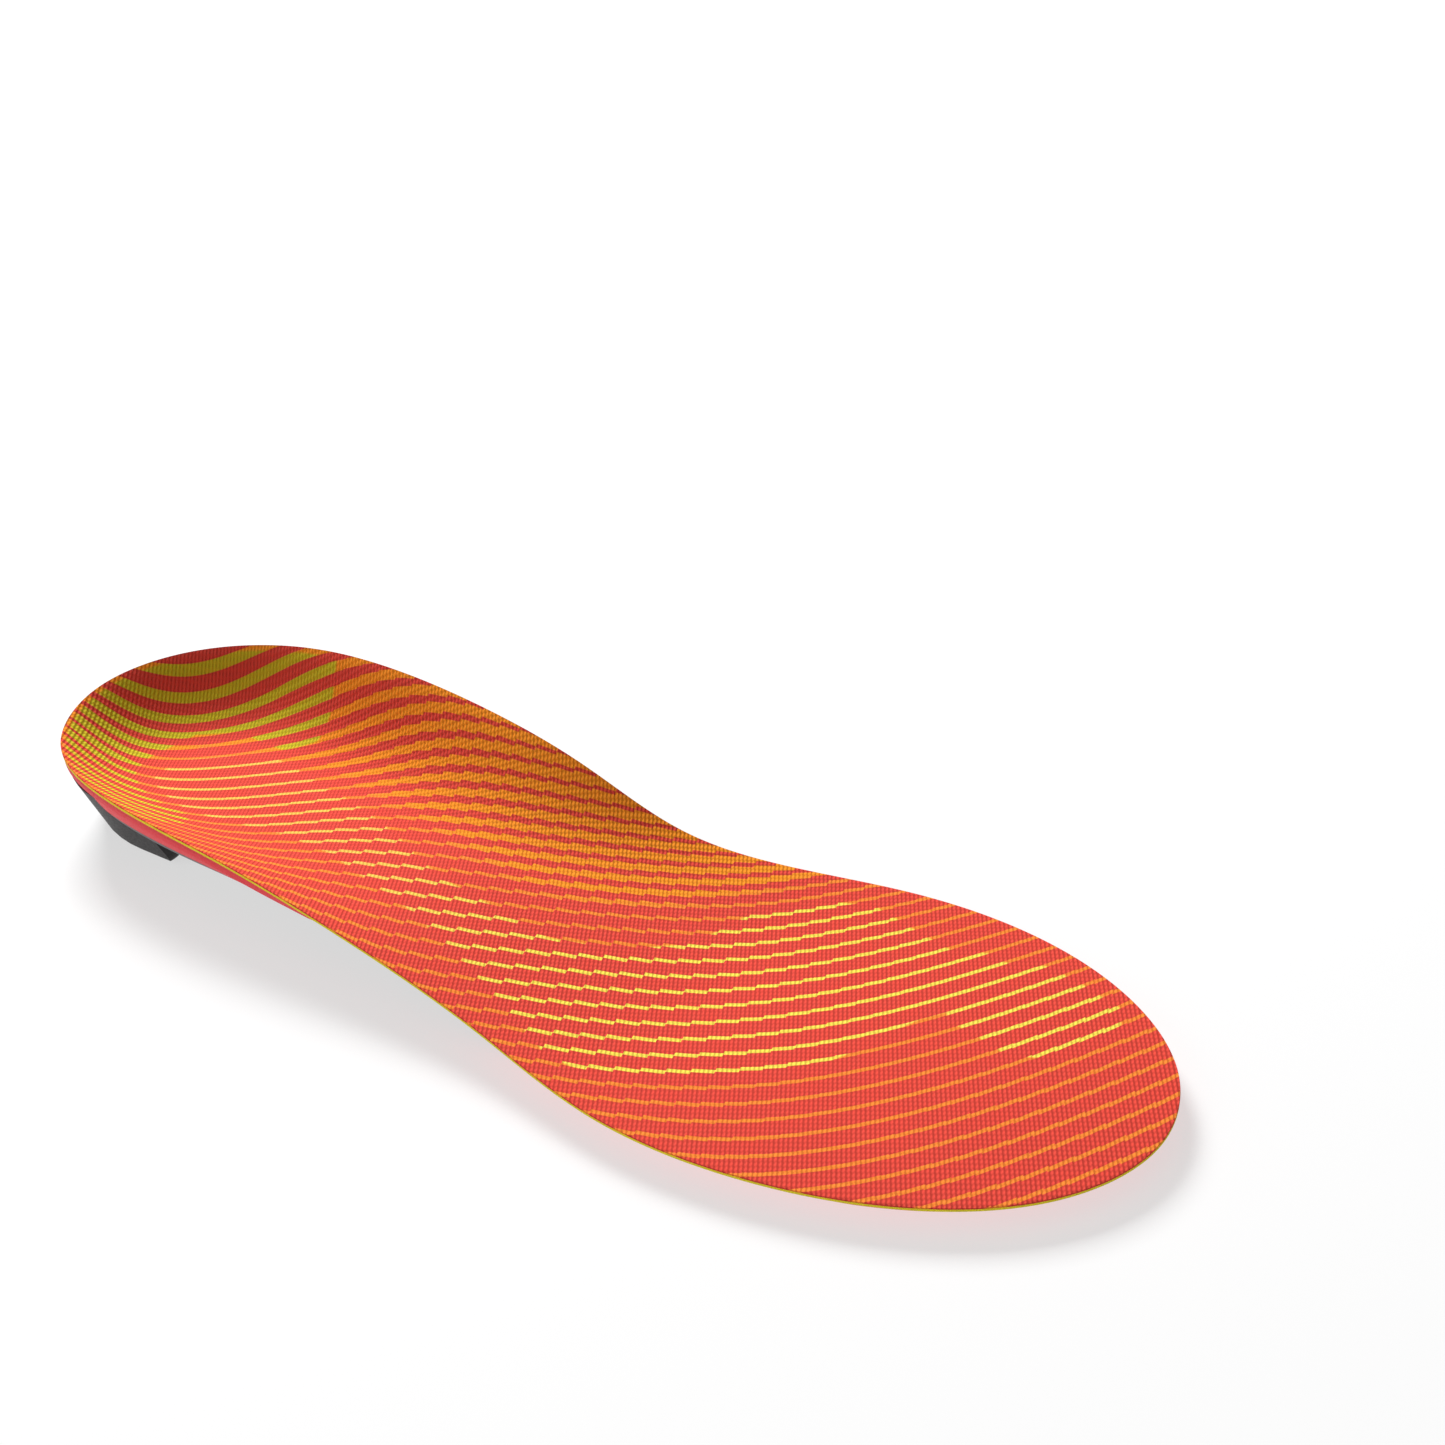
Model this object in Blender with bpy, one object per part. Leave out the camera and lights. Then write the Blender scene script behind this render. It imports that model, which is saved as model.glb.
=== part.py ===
"""Cushioned insole for a right running shoe: knit cover, two foam layers, heel pad,
stabiliser shell with an arch inlay, and a soft horseshoe under the heel.

Lengths are worked out in millimetres from the back of the heel (x to the toes, y to the
big-toe side, z up from the ground) and become metres, centred on the insole, in to_world().
"""

import math

import bmesh
import bpy
import numpy as np

MM = 0.001
MIDDLE = (147.8, -0.4)  # centre of the insole seen from above; 296 mm long, a man's 9.5 to 11
GAP = 0.3               # glue line and clearance between any two pieces

# Spine of the insole: every cross-section fans out from this straight line at y = 0.
SPINE = (36.0, 250.0)

# Top edge of the insole (x, y, z): up the inner side from the heel, round the toes and back.
RIM = [
    (0, 0, 25.5), (8, 19.5, 27.2), (30, 34, 29), (66, 37.5, 31.3), (105, 36, 29),
    (135, 34.3, 23), (160, 35, 13.6), (184, 39.8, 9), (216, 47.6, 7.2), (246, 48, 6.7),
    (275, 38, 6.4), (292, 21, 6.2), (296, 4, 6), (288, -17, 5.8), (264, -36.5, 5.8),
    (230, -47.6, 6.1), (196, -49.2, 6.8), (160, -42.6, 9.4), (120, -38.2, 14.8),
    (76, -35.9, 20.2), (34, -32.3, 22.4), (9, -21.5, 23.6),
]

# Heights of the foot bed and of the underside along the spine.
HEEL_FLOOR = 12.4
TOE_FLOOR = 6.4
ARCH_LIFT = 0.9
RIM_ROLL = 0.6          # how far the heel cup's wall rolls over level at its rim
SHELL_REST = 3.0        # underside of the shell over the ground at the heel
ARCH_HOLLOW = 1.4       # how much higher the underside is in the arch
HEEL_EDGE = 4.2         # height of the cut edge round the heel and arch
TOE_EDGE = 2.6          # height of the cut edge round the forefoot

# Layers, measured square to the surface; the stretches limit how tall they stand on a steep wall.
FOAM_STRETCH = 1.35
SHELL_STRETCH = 1.8
COVER = 0.9
CUSHION = 2.0
CUSHION_EDGE = 0.6
SHELL = 1.8
SHELL_EDGE = 0.9
HEEL_PAD = 2.4
BALL_POD = 1.6
INLAY = 0.9

# Outline of the stabiliser shell (x, y), from the back of the heel up the inner side.
SHELL_OUTLINE = [
    (1.8, 0), (9.2, 18.6), (31, 32.5), (66, 35.9), (105, 34.4), (135, 32.8), (158, 32.8),
    (172, 30), (179.5, 21), (181, 6), (179, -9), (174.5, -24), (167, -34), (152, -37),
    (120, -35.2), (76, -33.2), (34, -29.9), (10.2, -20.2),
]
SHELL_SPINE = (36.0, 150.0)

# The arch inlay is a drop: round in front, drawn out to a point over the heel.
INLAY_OUTLINE = [
    (38, 4.2), (58, 8.2), (84, 10.4), (112, 9), (129, 8.5), (138, 1.5), (138, -6.5),
    (129, -12.8), (104, -12.6), (78, -8.8), (56, -3.2),
]

# Heel pad and horseshoe share the heel's centre.
HEEL_CENTRE = (36.0, 0.0)
PAD_RADII = (20.0, 16.0)
OPENING_CENTRE = (32.0, 0.0)
OPENING_RADIUS = 16.3
HORSESHOE_FOOT = (31.5, 24.8, 26.5)     # reach to the back, outer side and inner side at the ground
HORSESHOE_DRAFT = (0.17, 0.37, 0.30)    # how much further each reaches per mm of height
HORSESHOE_TOP = (16.0, 17.5, 20.0)      # height of its lip at the back, outer side and inner side
HORSESHOE_ROUND = 1.0
HORSESHOE_LENGTH = 64.0

# Moulded grooves of the forefoot: closed loops round three pods, and an open line round the fourth.
OUTER_TOE_POD = [
    (229, -3), (238, -1), (273, -3.5), (277, -9), (266, -20), (246, -29), (220, -36.8),
    (214, -34.5), (217, -26),
]
INNER_TOE_POD = [
    (240, 9), (250, 5), (268, 4), (280, 9), (280.5, 16), (272, 24), (256, 30), (245, 29),
    (240.5, 20),
]
BALL_RING = [
    (199, 20), (202, 11), (211, 7), (224, 8), (229.5, 14), (231, 24), (225, 31.5), (212, 33),
    (203, 29),
]
POD_OUTLINE = [
    (203, 20), (205, 13), (212, 10.5), (222, 11), (226, 15.5), (227, 23), (222, 28),
    (213, 29.5), (206, 26.5),
]
BALL_LINE = [
    (185, -33.5), (193, -37), (202, -34), (210, -21), (219, -6), (217.5, -0.5), (207, 0.5),
    (199, 4), (194, 8.3), (190.5, 6.5), (187, 3),
]
GROOVE_RADIUS = 0.8
GROOVE_HEIGHT = -0.07     # height of the rounded groove's centre line

# The forefoot bends along the channel between the ball pods and the toe pods.
FLEX_POINT = (225.5, -4.0)
FLEX_SLOPE = 0.5        # how far the channel runs forward per mm to the inner side
FLEX_SLIT = 0.6

# Mesh density.
SIDE_STEPS = 15
FAN_STEPS = 6
RINGS = (0.0, 0.4, 0.66, 0.82, 0.92, 1.0)
SHELL_RINGS = (0.0, 0.4, 0.66, 0.8, 0.88, 0.94, 1.0)


# ---------------------------------------------------------------- shape of the insole

def smoothstep(low, high, x):
    t = np.clip((np.asarray(x, float) - low) / (high - low), 0, 1)
    return t * t * (3 - 2 * t)


def bump(middle, width, x):
    return np.exp(-(((np.asarray(x, float) - middle) / width) ** 2))


def closed_spline(points, count=900):
    """Points on the smooth closed curve (periodic cubic spline) through the given points."""
    knots = np.array(points, float)
    step = np.linalg.norm((np.roll(knots, -1, axis=0) - knots)[:, :2], axis=1)
    before = np.roll(step, 1)
    slope = (np.roll(knots, -1, axis=0) - knots) / step[:, None]
    index = np.arange(len(knots))
    after = (index + 1) % len(knots)
    matrix = np.diag(2 * (before + step))
    matrix[index, after] = step
    matrix[index, index - 1] = before
    bend = np.linalg.solve(matrix, 6 * (slope - np.roll(slope, 1, axis=0)))
    start = np.r_[0, np.cumsum(step)]
    along = np.linspace(0, start[-1], count, endpoint=False)
    i = np.searchsorted(start, along, side="right") - 1
    j = after[i]
    h = step[i][:, None]
    t = (along - start[i])[:, None]
    curve = (bend[i] * (h - t) ** 3 + bend[j] * t**3) / (6 * h)
    return curve + (knots[i] / h - bend[i] * h / 6) * (h - t) + (knots[j] / h - bend[j] * h / 6) * t


class Outline:
    """A closed outline, read by angle round either end of a spine and by x between them."""

    def __init__(self, points, spine, spine_y=0.0):
        self.line = closed_spline(points)
        self.spine = spine
        self.spine_y = spine_y
        self.ends = [self.by_angle(x) for x in spine]
        self.sides = [self.by_x(sign) for sign in (1, -1)]

    def by_angle(self, centre):
        dx, dy = self.line[:, 0] - centre, self.line[:, 1] - self.spine_y
        angle = np.arctan2(dy, dx)
        order = np.argsort(angle)
        values = np.c_[np.hypot(dx, dy), self.line[:, 2:]][order]
        return angle[order], values

    def by_x(self, sign):
        side = self.line[(self.line[:, 1] - self.spine_y) * sign > 0]
        order = np.argsort(side[:, 0])
        values = np.c_[np.abs(side[:, 1] - self.spine_y), side[:, 2:]][order]
        return side[order, 0], values

    def reach(self, x, y):
        """How far (x, y) lies from the spine to the outline, 0 to 1, and the outline's height there."""
        x, y = np.broadcast_arrays(np.asarray(x, float), np.asarray(y, float) - self.spine_y)
        anchor = np.clip(x, *self.spine)
        angle = np.arctan2(y, x - anchor)
        found = np.zeros(x.shape + (self.line.shape[1] - 1,))
        for k in range(found.shape[-1]):
            heel, toe = (
                np.interp(angle, table, values[:, k], period=2 * math.pi) for table, values in self.ends
            )
            inner, outer = (np.interp(x, table, values[:, k]) for table, values in self.sides)
            side = np.where(y >= 0, inner, outer)
            found[..., k] = np.where(x < self.spine[0], heel, np.where(x > self.spine[1], toe, side))
        share = np.hypot(x - anchor, y) / found[..., 0]
        return share, found[..., -1]

    def samples(self, side_steps=SIDE_STEPS, fan_steps=FAN_STEPS):
        """Points round the outline, each with its anchor on the spine; both sides share anchors."""
        stations = np.linspace(*self.spine, side_steps + 1)
        fan = np.linspace(0, math.pi, fan_steps * 2 + 1)[1:-1]
        points = []
        for x in stations:
            points.append((x, np.interp(x, *self.width(0)), x))
        for turn in fan:
            points.append(self.fan_point(1, math.pi / 2 - turn))
        for x in stations[::-1]:
            points.append((x, -np.interp(x, *self.width(1)), x))
        for turn in fan:
            points.append(self.fan_point(0, -math.pi / 2 - turn))
        table = np.array(points)
        table[:, 1] += self.spine_y
        anchors = np.c_[table[:, 2], np.full(len(table), self.spine_y)]
        return table[:, :2], anchors

    def width(self, side):
        table, values = self.sides[side]
        return table, values[:, 0]

    def fan_point(self, end, angle):
        table, values = self.ends[end]
        radius = np.interp(angle, table, values[:, 0], period=2 * math.pi)
        centre = self.spine[end]
        return centre + radius * math.cos(angle), radius * math.sin(angle), centre


INSOLE = Outline(RIM, SPINE)


def foot_bed(x, y):
    """Height of the top surface."""
    share, rim = INSOLE.reach(x, y)
    floor = HEEL_FLOOR + (TOE_FLOOR - HEEL_FLOOR) * smoothstep(115, 200, x) + ARCH_LIFT * bump(100, 28, x)
    power = 3.2 - 0.9 * bump(112, 38, x) * (np.asarray(y) > 0) - 0.6 * smoothstep(150, 200, x)
    roll = RIM_ROLL * (1 - smoothstep(90, 160, x))
    wall = share ** (power * (1 + 0.55 * roll))
    return floor + (rim - floor) * wall * (1 + roll * (1 - wall))


def underside(x, y):
    """Height of the outer surface: shell, foam bottom and the bevel round the forefoot."""
    share, rim = INSOLE.reach(x, y)
    front = smoothstep(150, 188, x)
    sole = SHELL_REST * (1 - smoothstep(140, 184, x)) + ARCH_HOLLOW * bump(105, 30, x) * (1 - front)
    edge = HEEL_EDGE + (TOE_EDGE - HEEL_EDGE) * smoothstep(150, 200, x)
    flat = 0.78 * front
    power = 5.5 - 2.0 * bump(112, 38, x) - 3.9 * front
    bevel = np.clip((share - flat) / (1 - flat), 0, None) ** power
    return sole + (rim - edge - sole) * bevel


def steepness(surface, x, y, limit):
    """How much taller a layer is on a slope than where the surface is level, up to a limit."""
    d = 0.2
    rise_x = (surface(x + d, y) - surface(x - d, y)) / (2 * d)
    rise_y = (surface(x, y + d) - surface(x, y - d)) / (2 * d)
    return np.minimum(np.sqrt(1 + rise_x**2 + rise_y**2), limit)


def below_top(depth):
    return lambda x, y: foot_bed(x, y) - depth * steepness(foot_bed, x, y, FOAM_STRETCH)


def above_bottom(depth):
    return lambda x, y: underside(x, y) + depth * steepness(underside, x, y, SHELL_STRETCH)


def shell_inside(gap):
    """The shell thins out towards its edge; gap is the clearance inside it."""
    def height(x, y):
        share, _ = SHELL_SHAPE.reach(x, y)
        thickness = SHELL + (SHELL_EDGE - SHELL) * smoothstep(0.7, 1.0, share)
        return above_bottom(thickness + gap)(x, y)
    return height


def cushion_bottom(x, y):
    """The cushion foam thins out towards the rim."""
    share, _ = INSOLE.reach(x, y)
    thickness = CUSHION + (CUSHION_EDGE - CUSHION) * smoothstep(0.5, 1.0, share)
    return below_top(COVER + GAP + thickness)(x, y)


def base_top(x, y):
    return cushion_bottom(x, y) - GAP * steepness(foot_bed, x, y, FOAM_STRETCH)


# ---------------------------------------------------------------- building meshes

def to_world(points):
    centre = np.array([*MIDDLE, 0.0])
    return (np.array(points, float) - centre) * MM


def to_object(name, bm, collection):
    bmesh.ops.recalc_face_normals(bm, faces=bm.faces)
    mesh = bpy.data.meshes.new(name)
    bm.to_mesh(mesh)
    bm.free()
    mesh.shade_smooth()
    mesh.set_sharp_from_angle(angle=math.radians(35))
    obj = bpy.data.objects.new(name, mesh)
    collection.objects.link(obj)
    return obj


def add_surface(bm, outline, height, rings, grow=0.0):
    """An open surface over the outline, in rings from the spine outwards. Returns its border."""
    rim, anchors = outline.samples()
    arm = rim - anchors
    rim = rim + grow * arm / np.linalg.norm(arm, axis=1)[:, None]
    rows = []
    for share in rings:
        at = anchors + (rim - anchors) * share
        z = height(at[:, 0], at[:, 1])
        rows.append([bm.verts.new(p) for p in to_world(np.c_[at, z])])
    for inner, outer in zip(rows, rows[1:]):
        for k in range(len(rim)):
            n = (k + 1) % len(rim)
            bm.faces.new((inner[k], inner[n], outer[n], outer[k]))
    border = rows[-1]
    bmesh.ops.remove_doubles(bm, verts=rows[0], dist=0.01 * MM)
    bmesh.ops.dissolve_degenerate(bm, edges=bm.edges, dist=0.01 * MM)
    return border


def layer(name, collection, outline, top, bottom, rings=RINGS, grow=0.0):
    """A closed solid between two surfaces over one outline, with an upright cut edge."""
    bm = bmesh.new()
    upper = add_surface(bm, outline, top, rings, grow)
    lower = add_surface(bm, outline, bottom, rings, grow)
    for k in range(len(upper)):
        n = (k + 1) % len(upper)
        bm.faces.new((upper[k], upper[n], lower[n], lower[k]))
    return to_object(name, bm, collection)


def block(name, collection, size, location, turn=0.0):
    bpy.ops.mesh.primitive_cube_add(size=1.0)
    obj = bpy.context.object
    obj.name = name
    obj.data.name = name
    obj.data.transform(obj.matrix_world @ obj.matrix_world.inverted())
    for vertex in obj.data.vertices:
        vertex.co = [vertex.co[i] * size[i] * MM for i in range(3)]
    obj.location = to_world([location])[0]
    obj.rotation_euler.z = turn
    move_to(obj, collection)
    return obj


def move_to(obj, collection):
    for owner in list(obj.users_collection):
        owner.objects.unlink(obj)
    collection.objects.link(obj)


def groove(name, collection, points, cyclic, radius=GROOVE_RADIUS):
    """A round cutter along a smooth line on the sole, made a mesh so that a Boolean can use it."""
    if cyclic:
        line = closed_spline(points, 44)
    else:
        line = open_line(points, 40)
    curve = bpy.data.curves.new(name, "CURVE")
    curve.dimensions = "3D"
    curve.bevel_depth = radius * MM
    curve.bevel_resolution = 1
    curve.use_fill_caps = True
    spline = curve.splines.new("POLY")
    spline.points.add(len(line) - 1)
    for point, at in zip(spline.points, to_world(np.c_[line, np.full(len(line), GROOVE_HEIGHT)])):
        point.co = (*at, 1)
    spline.use_cyclic_u = cyclic
    tube = bpy.data.objects.new(name + "_line", curve)
    collection.objects.link(tube)
    bpy.context.view_layer.update()
    evaluated = tube.evaluated_get(bpy.context.evaluated_depsgraph_get())
    mesh = bpy.data.meshes.new_from_object(evaluated)
    bm = bmesh.new()
    bm.from_mesh(mesh)
    bmesh.ops.remove_doubles(bm, verts=bm.verts, dist=0.001 * MM)
    bpy.data.objects.remove(tube)
    bpy.data.meshes.remove(mesh)
    return to_object(name, bm, collection)


def open_line(points, count):
    """Evenly spaced points on a smooth open curve through the given ones."""
    back_and_forth = list(points) + list(points[-2:0:-1])
    line = closed_spline(back_and_forth, 1200)
    ends = [np.linalg.norm(line - p, axis=1).argmin() for p in (points[0], points[-1])]
    half = line[ends[0]: ends[1] + 1]
    travel = np.r_[0, np.cumsum(np.linalg.norm(np.diff(half, axis=0), axis=1))]
    even = np.linspace(0, travel[-1], count)
    return np.c_[np.interp(even, travel, half[:, 0]), np.interp(even, travel, half[:, 1])]


def boolean(obj, operation, tool):
    modifier = obj.modifiers.new(f"{operation.title()} {tool.name}", "BOOLEAN")
    modifier.operation = operation
    modifier.object = tool


def hide_tools(collection):
    for tool in collection.objects:
        tool.hide_render = True
        tool.display_type = "WIRE"


def material(name, color, roughness, metallic=0.0):
    made = bpy.data.materials.new(name)
    made.use_nodes = True
    shader = made.node_tree.nodes["Principled BSDF"]
    shader.inputs["Base Color"].default_value = (*color, 1)
    shader.inputs["Roughness"].default_value = roughness
    shader.inputs["Metallic"].default_value = metallic
    return made


# ---------------------------------------------------------------- pieces

def make_covers(parts, tools):
    whole = layer("top_cover_rear", parts, INSOLE, foot_bed, below_top(COVER))
    return split_at_flex_line(whole, "top_cover_toe", parts, tools)


def make_cushions(parts, tools):
    whole = layer("cushion_foam_rear", parts, INSOLE, below_top(COVER + GAP), cushion_bottom)
    return split_at_flex_line(whole, "cushion_foam_toe", parts, tools)


def make_bases(parts, tools):
    rear = layer("base_foam_rear", parts, INSOLE, base_top, underside)
    rear, toe = split_at_flex_line(rear, "base_foam_toe", parts, tools)
    shell_space = layer(
        "shell_space", tools, SHELL_SHAPE, shell_inside(GAP),
        lambda x, y: underside(x, y) - 2.0, rings=SHELL_RINGS, grow=GAP,
    )
    pad_space = layer(
        "pad_space", tools, PAD_SHAPE, lambda x, y: base_top(x, y) + 1.0,
        lambda x, y: base_top(x, y) - HEEL_PAD - GAP, rings=(0, 0.5, 1), grow=GAP,
    )
    pod_space = layer(
        "pod_space", tools, POD_SHAPE, lambda x, y: 0 * x + BALL_POD + GAP,
        lambda x, y: 0 * x - 1.0, rings=(0, 1), grow=0.45,
    )
    ball_grooves = [
        groove("ball_ring_groove", tools, BALL_RING, True),
        groove("ball_line_groove", tools, BALL_LINE, False),
    ]
    for tool in (shell_space, pad_space, pod_space, *ball_grooves):
        boolean(rear, "DIFFERENCE", tool)
    boolean(toe, "DIFFERENCE", groove("outer_toe_groove", tools, OUTER_TOE_POD, True))
    boolean(toe, "DIFFERENCE", groove("inner_toe_groove", tools, INNER_TOE_POD, True))
    return rear, toe


def split_at_flex_line(rear, toe_name, parts, tools):
    """Cuts a full-length layer in two along the flex channel. Returns both halves."""
    toe = rear.copy()
    toe.name = toe_name
    parts.objects.link(toe)
    boolean(rear, "DIFFERENCE", tools.objects["front_space"])
    boolean(toe, "DIFFERENCE", tools.objects["rear_space"])
    return rear, toe


def make_flex_tools(tools):
    """Two large blocks that meet along the flex channel, less half a slit each."""
    turn = -math.atan(FLEX_SLOPE)
    ahead = np.array([math.cos(turn), math.sin(turn)])
    size = (400.0, 400.0, 120.0)
    for name, direction in (("front_space", 1), ("rear_space", -1)):
        at = np.array(FLEX_POINT) + direction * ahead * (size[0] / 2 - FLEX_SLIT / 2)
        block(name, tools, size, (*at, 0.0), turn)


def make_heel_pad(parts):
    return layer(
        "heel_pad", parts, PAD_SHAPE, base_top,
        lambda x, y: base_top(x, y) - HEEL_PAD, rings=(0, 0.5, 1),
    )


def make_ball_pod(parts):
    return layer(
        "ball_pod", parts, POD_SHAPE, lambda x, y: 0 * x + BALL_POD, lambda x, y: 0 * x, rings=(0, 1),
    )


def make_shell(parts, tools):
    shell = layer(
        "stabiliser_shell", parts, SHELL_SHAPE, shell_inside(0.0), underside, rings=SHELL_RINGS,
    )
    inlay_space = layer(
        "inlay_space", tools, INLAY_SHAPE, above_bottom(INLAY + GAP),
        lambda x, y: underside(x, y) - 2.0, rings=(0, 0.5, 1), grow=GAP,
    )
    boolean(shell, "DIFFERENCE", inlay_space)
    return shell


def make_inlay(parts):
    return layer("arch_inlay", parts, INLAY_SHAPE, above_bottom(INLAY), underside, rings=(0, 0.5, 1))


def heel_ring(height, inset=0.0):
    """Outline of the horseshoe's outer wall at a height: half an ellipse and two straight sides."""
    back, outer, inner = (
        foot + draft * height - inset for foot, draft in zip(HORSESHOE_FOOT, HORSESHOE_DRAFT)
    )
    points = [(HORSESHOE_LENGTH, inner)]
    for turn in np.linspace(90, -90, 25):
        angle = math.radians(turn)
        side = inner if angle > 0 else outer
        points.append((HEEL_CENTRE[0] - back * math.cos(angle), side * math.sin(angle)))
    points.append((HORSESHOE_LENGTH, -outer))
    return np.array(points)


def lip_heights():
    """Height of the horseshoe's lip round the same points as heel_ring()."""
    back, outer, inner = HORSESHOE_TOP
    heights = [inner]
    for turn in np.linspace(90, -90, 25):
        side = inner if turn > 0 else outer
        share = math.sin(math.radians(abs(turn))) ** 2
        heights.append(back + (side - back) * share)
    return np.array(heights + [outer])


def add_heel_block(tools):
    """The horseshoe's outside, as a solid plug: flat foot, rounded corner, drafted wall, peaked top."""
    bm = bmesh.new()
    lip = lip_heights()
    walls = [heel_ring(z) for z in lip]
    lip_line = np.array([wall[k] for k, wall in enumerate(walls)])
    rows = []
    for turn in (0, 30, 60, 90):
        angle = math.radians(turn)
        inset = HORSESHOE_ROUND * (1 - math.sin(angle))
        height = HORSESHOE_ROUND * (1 - math.cos(angle))
        rows.append(np.c_[heel_ring(height, inset), np.full(len(lip), height)])
    rows.append(np.c_[lip_line, lip])
    made = [[bm.verts.new(p) for p in to_world(row)] for row in rows]
    for lower, upper in zip(made, made[1:]):
        for k in range(len(lower)):
            n = (k + 1) % len(lower)
            bm.faces.new((lower[k], lower[n], upper[n], upper[k]))
    bm.faces.new(made[0])
    peak = bm.verts.new(to_world([(*HEEL_CENTRE, 34.0)])[0])
    for k in range(len(made[-1])):
        bm.faces.new((made[-1][k], made[-1][(k + 1) % len(made[-1])], peak))
    return to_object("heel_horseshoe", bm, tools)


def horseshoe_plan():
    """Plan of the horseshoe: open in front, with a blunt outer end and a hooked inner end."""
    cx, cy = OPENING_CENTRE
    arc = [
        (cx + OPENING_RADIUS * math.cos(a), cy + OPENING_RADIUS * math.sin(a))
        for a in np.radians(np.linspace(-75, -278, 21))
    ]
    outer_end = [(37, -44), (41, -36), (44.8, -30.5), (47, -26.5), (47.6, -23), (46.3, -19.2), (42.5, -16.3)]
    inner_end = [
        (41, 14.8), (44.6, 12.2), (48.5, 11.6), (52.5, 13.8), (56, 18.5), (57.5, 23.5), (55.5, 28.5),
        (51, 34),
    ]
    far_side = [(44, 44), (-10, 44), (-10, -44)]
    return outer_end + arc + inner_end + far_side


def prism(name, collection, outline, low, high):
    bm = bmesh.new()
    face = bm.faces.new([bm.verts.new(p) for p in to_world([(*p, low) for p in outline])])
    bmesh.ops.recalc_face_normals(bm, faces=[face])
    made = bmesh.ops.extrude_face_region(bm, geom=[face])
    moved = [v for v in made["geom"] if isinstance(v, bmesh.types.BMVert)]
    bmesh.ops.translate(bm, verts=moved, vec=(0, 0, (high - low) * MM))
    return to_object(name, bm, collection)


def make_horseshoe(parts, tools):
    horseshoe = add_heel_block(parts)
    plan = prism("horseshoe_plan", tools, horseshoe_plan(), -5.0, 45.0)
    heel_space = layer(
        "heel_space", tools, SHELL_SHAPE, lambda x, y: 0 * x + 60.0, above_bottom(-GAP),
        rings=(*SHELL_RINGS, 1.12),
    )
    boolean(horseshoe, "INTERSECT", plan)
    boolean(horseshoe, "DIFFERENCE", heel_space)
    return horseshoe


def ellipse(centre, radii, count=16):
    turns = np.linspace(0, 2 * math.pi, count, endpoint=False)
    return [(centre[0] - radii[0] * math.cos(a), centre[1] + radii[1] * math.sin(a)) for a in turns]


SHELL_SHAPE = Outline([(*p, 0) for p in SHELL_OUTLINE], SHELL_SPINE)
INLAY_SHAPE = Outline([(*p, 0) for p in INLAY_OUTLINE], (66.0, 126.0), -1.0)
PAD_SHAPE = Outline([(*p, 0) for p in ellipse(HEEL_CENTRE, PAD_RADII)], (32.0, 40.0))
POD_SHAPE = Outline([(*p, 0) for p in POD_OUTLINE], (212.0, 218.0), 20.0)


def main():
    for obj in list(bpy.data.objects):
        bpy.data.objects.remove(obj)
    parts = bpy.data.collections.new("cushioned_insole")
    tools = bpy.data.collections.new("cutters")
    for collection in (parts, tools):
        bpy.context.scene.collection.children.link(collection)

    make_flex_tools(tools)
    covers = make_covers(parts, tools)
    cushions = make_cushions(parts, tools)
    bases = make_bases(parts, tools)
    heel_pad = make_heel_pad(parts)
    ball_pod = make_ball_pod(parts)
    shell = make_shell(parts, tools)
    inlay = make_inlay(parts)
    horseshoe = make_horseshoe(parts, tools)
    hide_tools(tools)

    finishes = [
        (material("knit_cover", (0.80, 0.09, 0.05), 0.9), covers),
        (material("cushion_foam", (0.85, 0.05, 0.07), 0.75), cushions),
        (material("base_foam", (0.86, 0.03, 0.05), 0.6), (*bases, ball_pod)),
        (material("heel_gel", (0.75, 0.35, 0.10), 0.5), (heel_pad,)),
        (material("grey_nylon", (0.065, 0.065, 0.068), 0.45), (shell,)),
        (material("tinted_nylon", (0.070, 0.058, 0.054), 0.4), (inlay,)),
        (material("black_foam", (0.012, 0.012, 0.013), 0.5), (horseshoe,)),
    ]
    for finish, pieces in finishes:
        for piece in pieces:
            piece.data.materials.clear()
            piece.data.materials.append(finish)


main()
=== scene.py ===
"""How the cushioned insole looks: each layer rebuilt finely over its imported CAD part.

Shapes are worked out in millimetres in the part's own frame (x from the back of the heel to
the toes, y to the big-toe side, z up from the ground) and become metres in to_world().
"""

import math

import bmesh
import bpy
import numpy as np
from mathutils import Matrix, Vector


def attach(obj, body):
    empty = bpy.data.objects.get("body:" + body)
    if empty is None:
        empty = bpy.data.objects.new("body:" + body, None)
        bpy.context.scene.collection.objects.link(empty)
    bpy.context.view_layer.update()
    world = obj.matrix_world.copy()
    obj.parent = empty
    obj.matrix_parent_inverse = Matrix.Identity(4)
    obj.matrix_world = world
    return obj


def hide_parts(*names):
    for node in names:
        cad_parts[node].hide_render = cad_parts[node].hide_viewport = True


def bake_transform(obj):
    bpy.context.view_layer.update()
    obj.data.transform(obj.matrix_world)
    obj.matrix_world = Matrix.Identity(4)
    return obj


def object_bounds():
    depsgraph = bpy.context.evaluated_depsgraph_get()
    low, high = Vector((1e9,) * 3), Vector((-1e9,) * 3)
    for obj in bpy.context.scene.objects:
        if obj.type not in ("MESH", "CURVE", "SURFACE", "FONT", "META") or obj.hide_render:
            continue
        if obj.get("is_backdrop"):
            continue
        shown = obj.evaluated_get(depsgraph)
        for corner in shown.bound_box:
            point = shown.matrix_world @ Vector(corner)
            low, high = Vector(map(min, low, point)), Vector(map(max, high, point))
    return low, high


MM = 0.001
MIDDLE = (147.8, -0.4)  # centre of the insole seen from above; 296 mm long, a man's 9.5 to 11

# Spine of the insole: every cross-section fans out from this straight line at y = 0.
SPINE = (36.0, 250.0)

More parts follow.
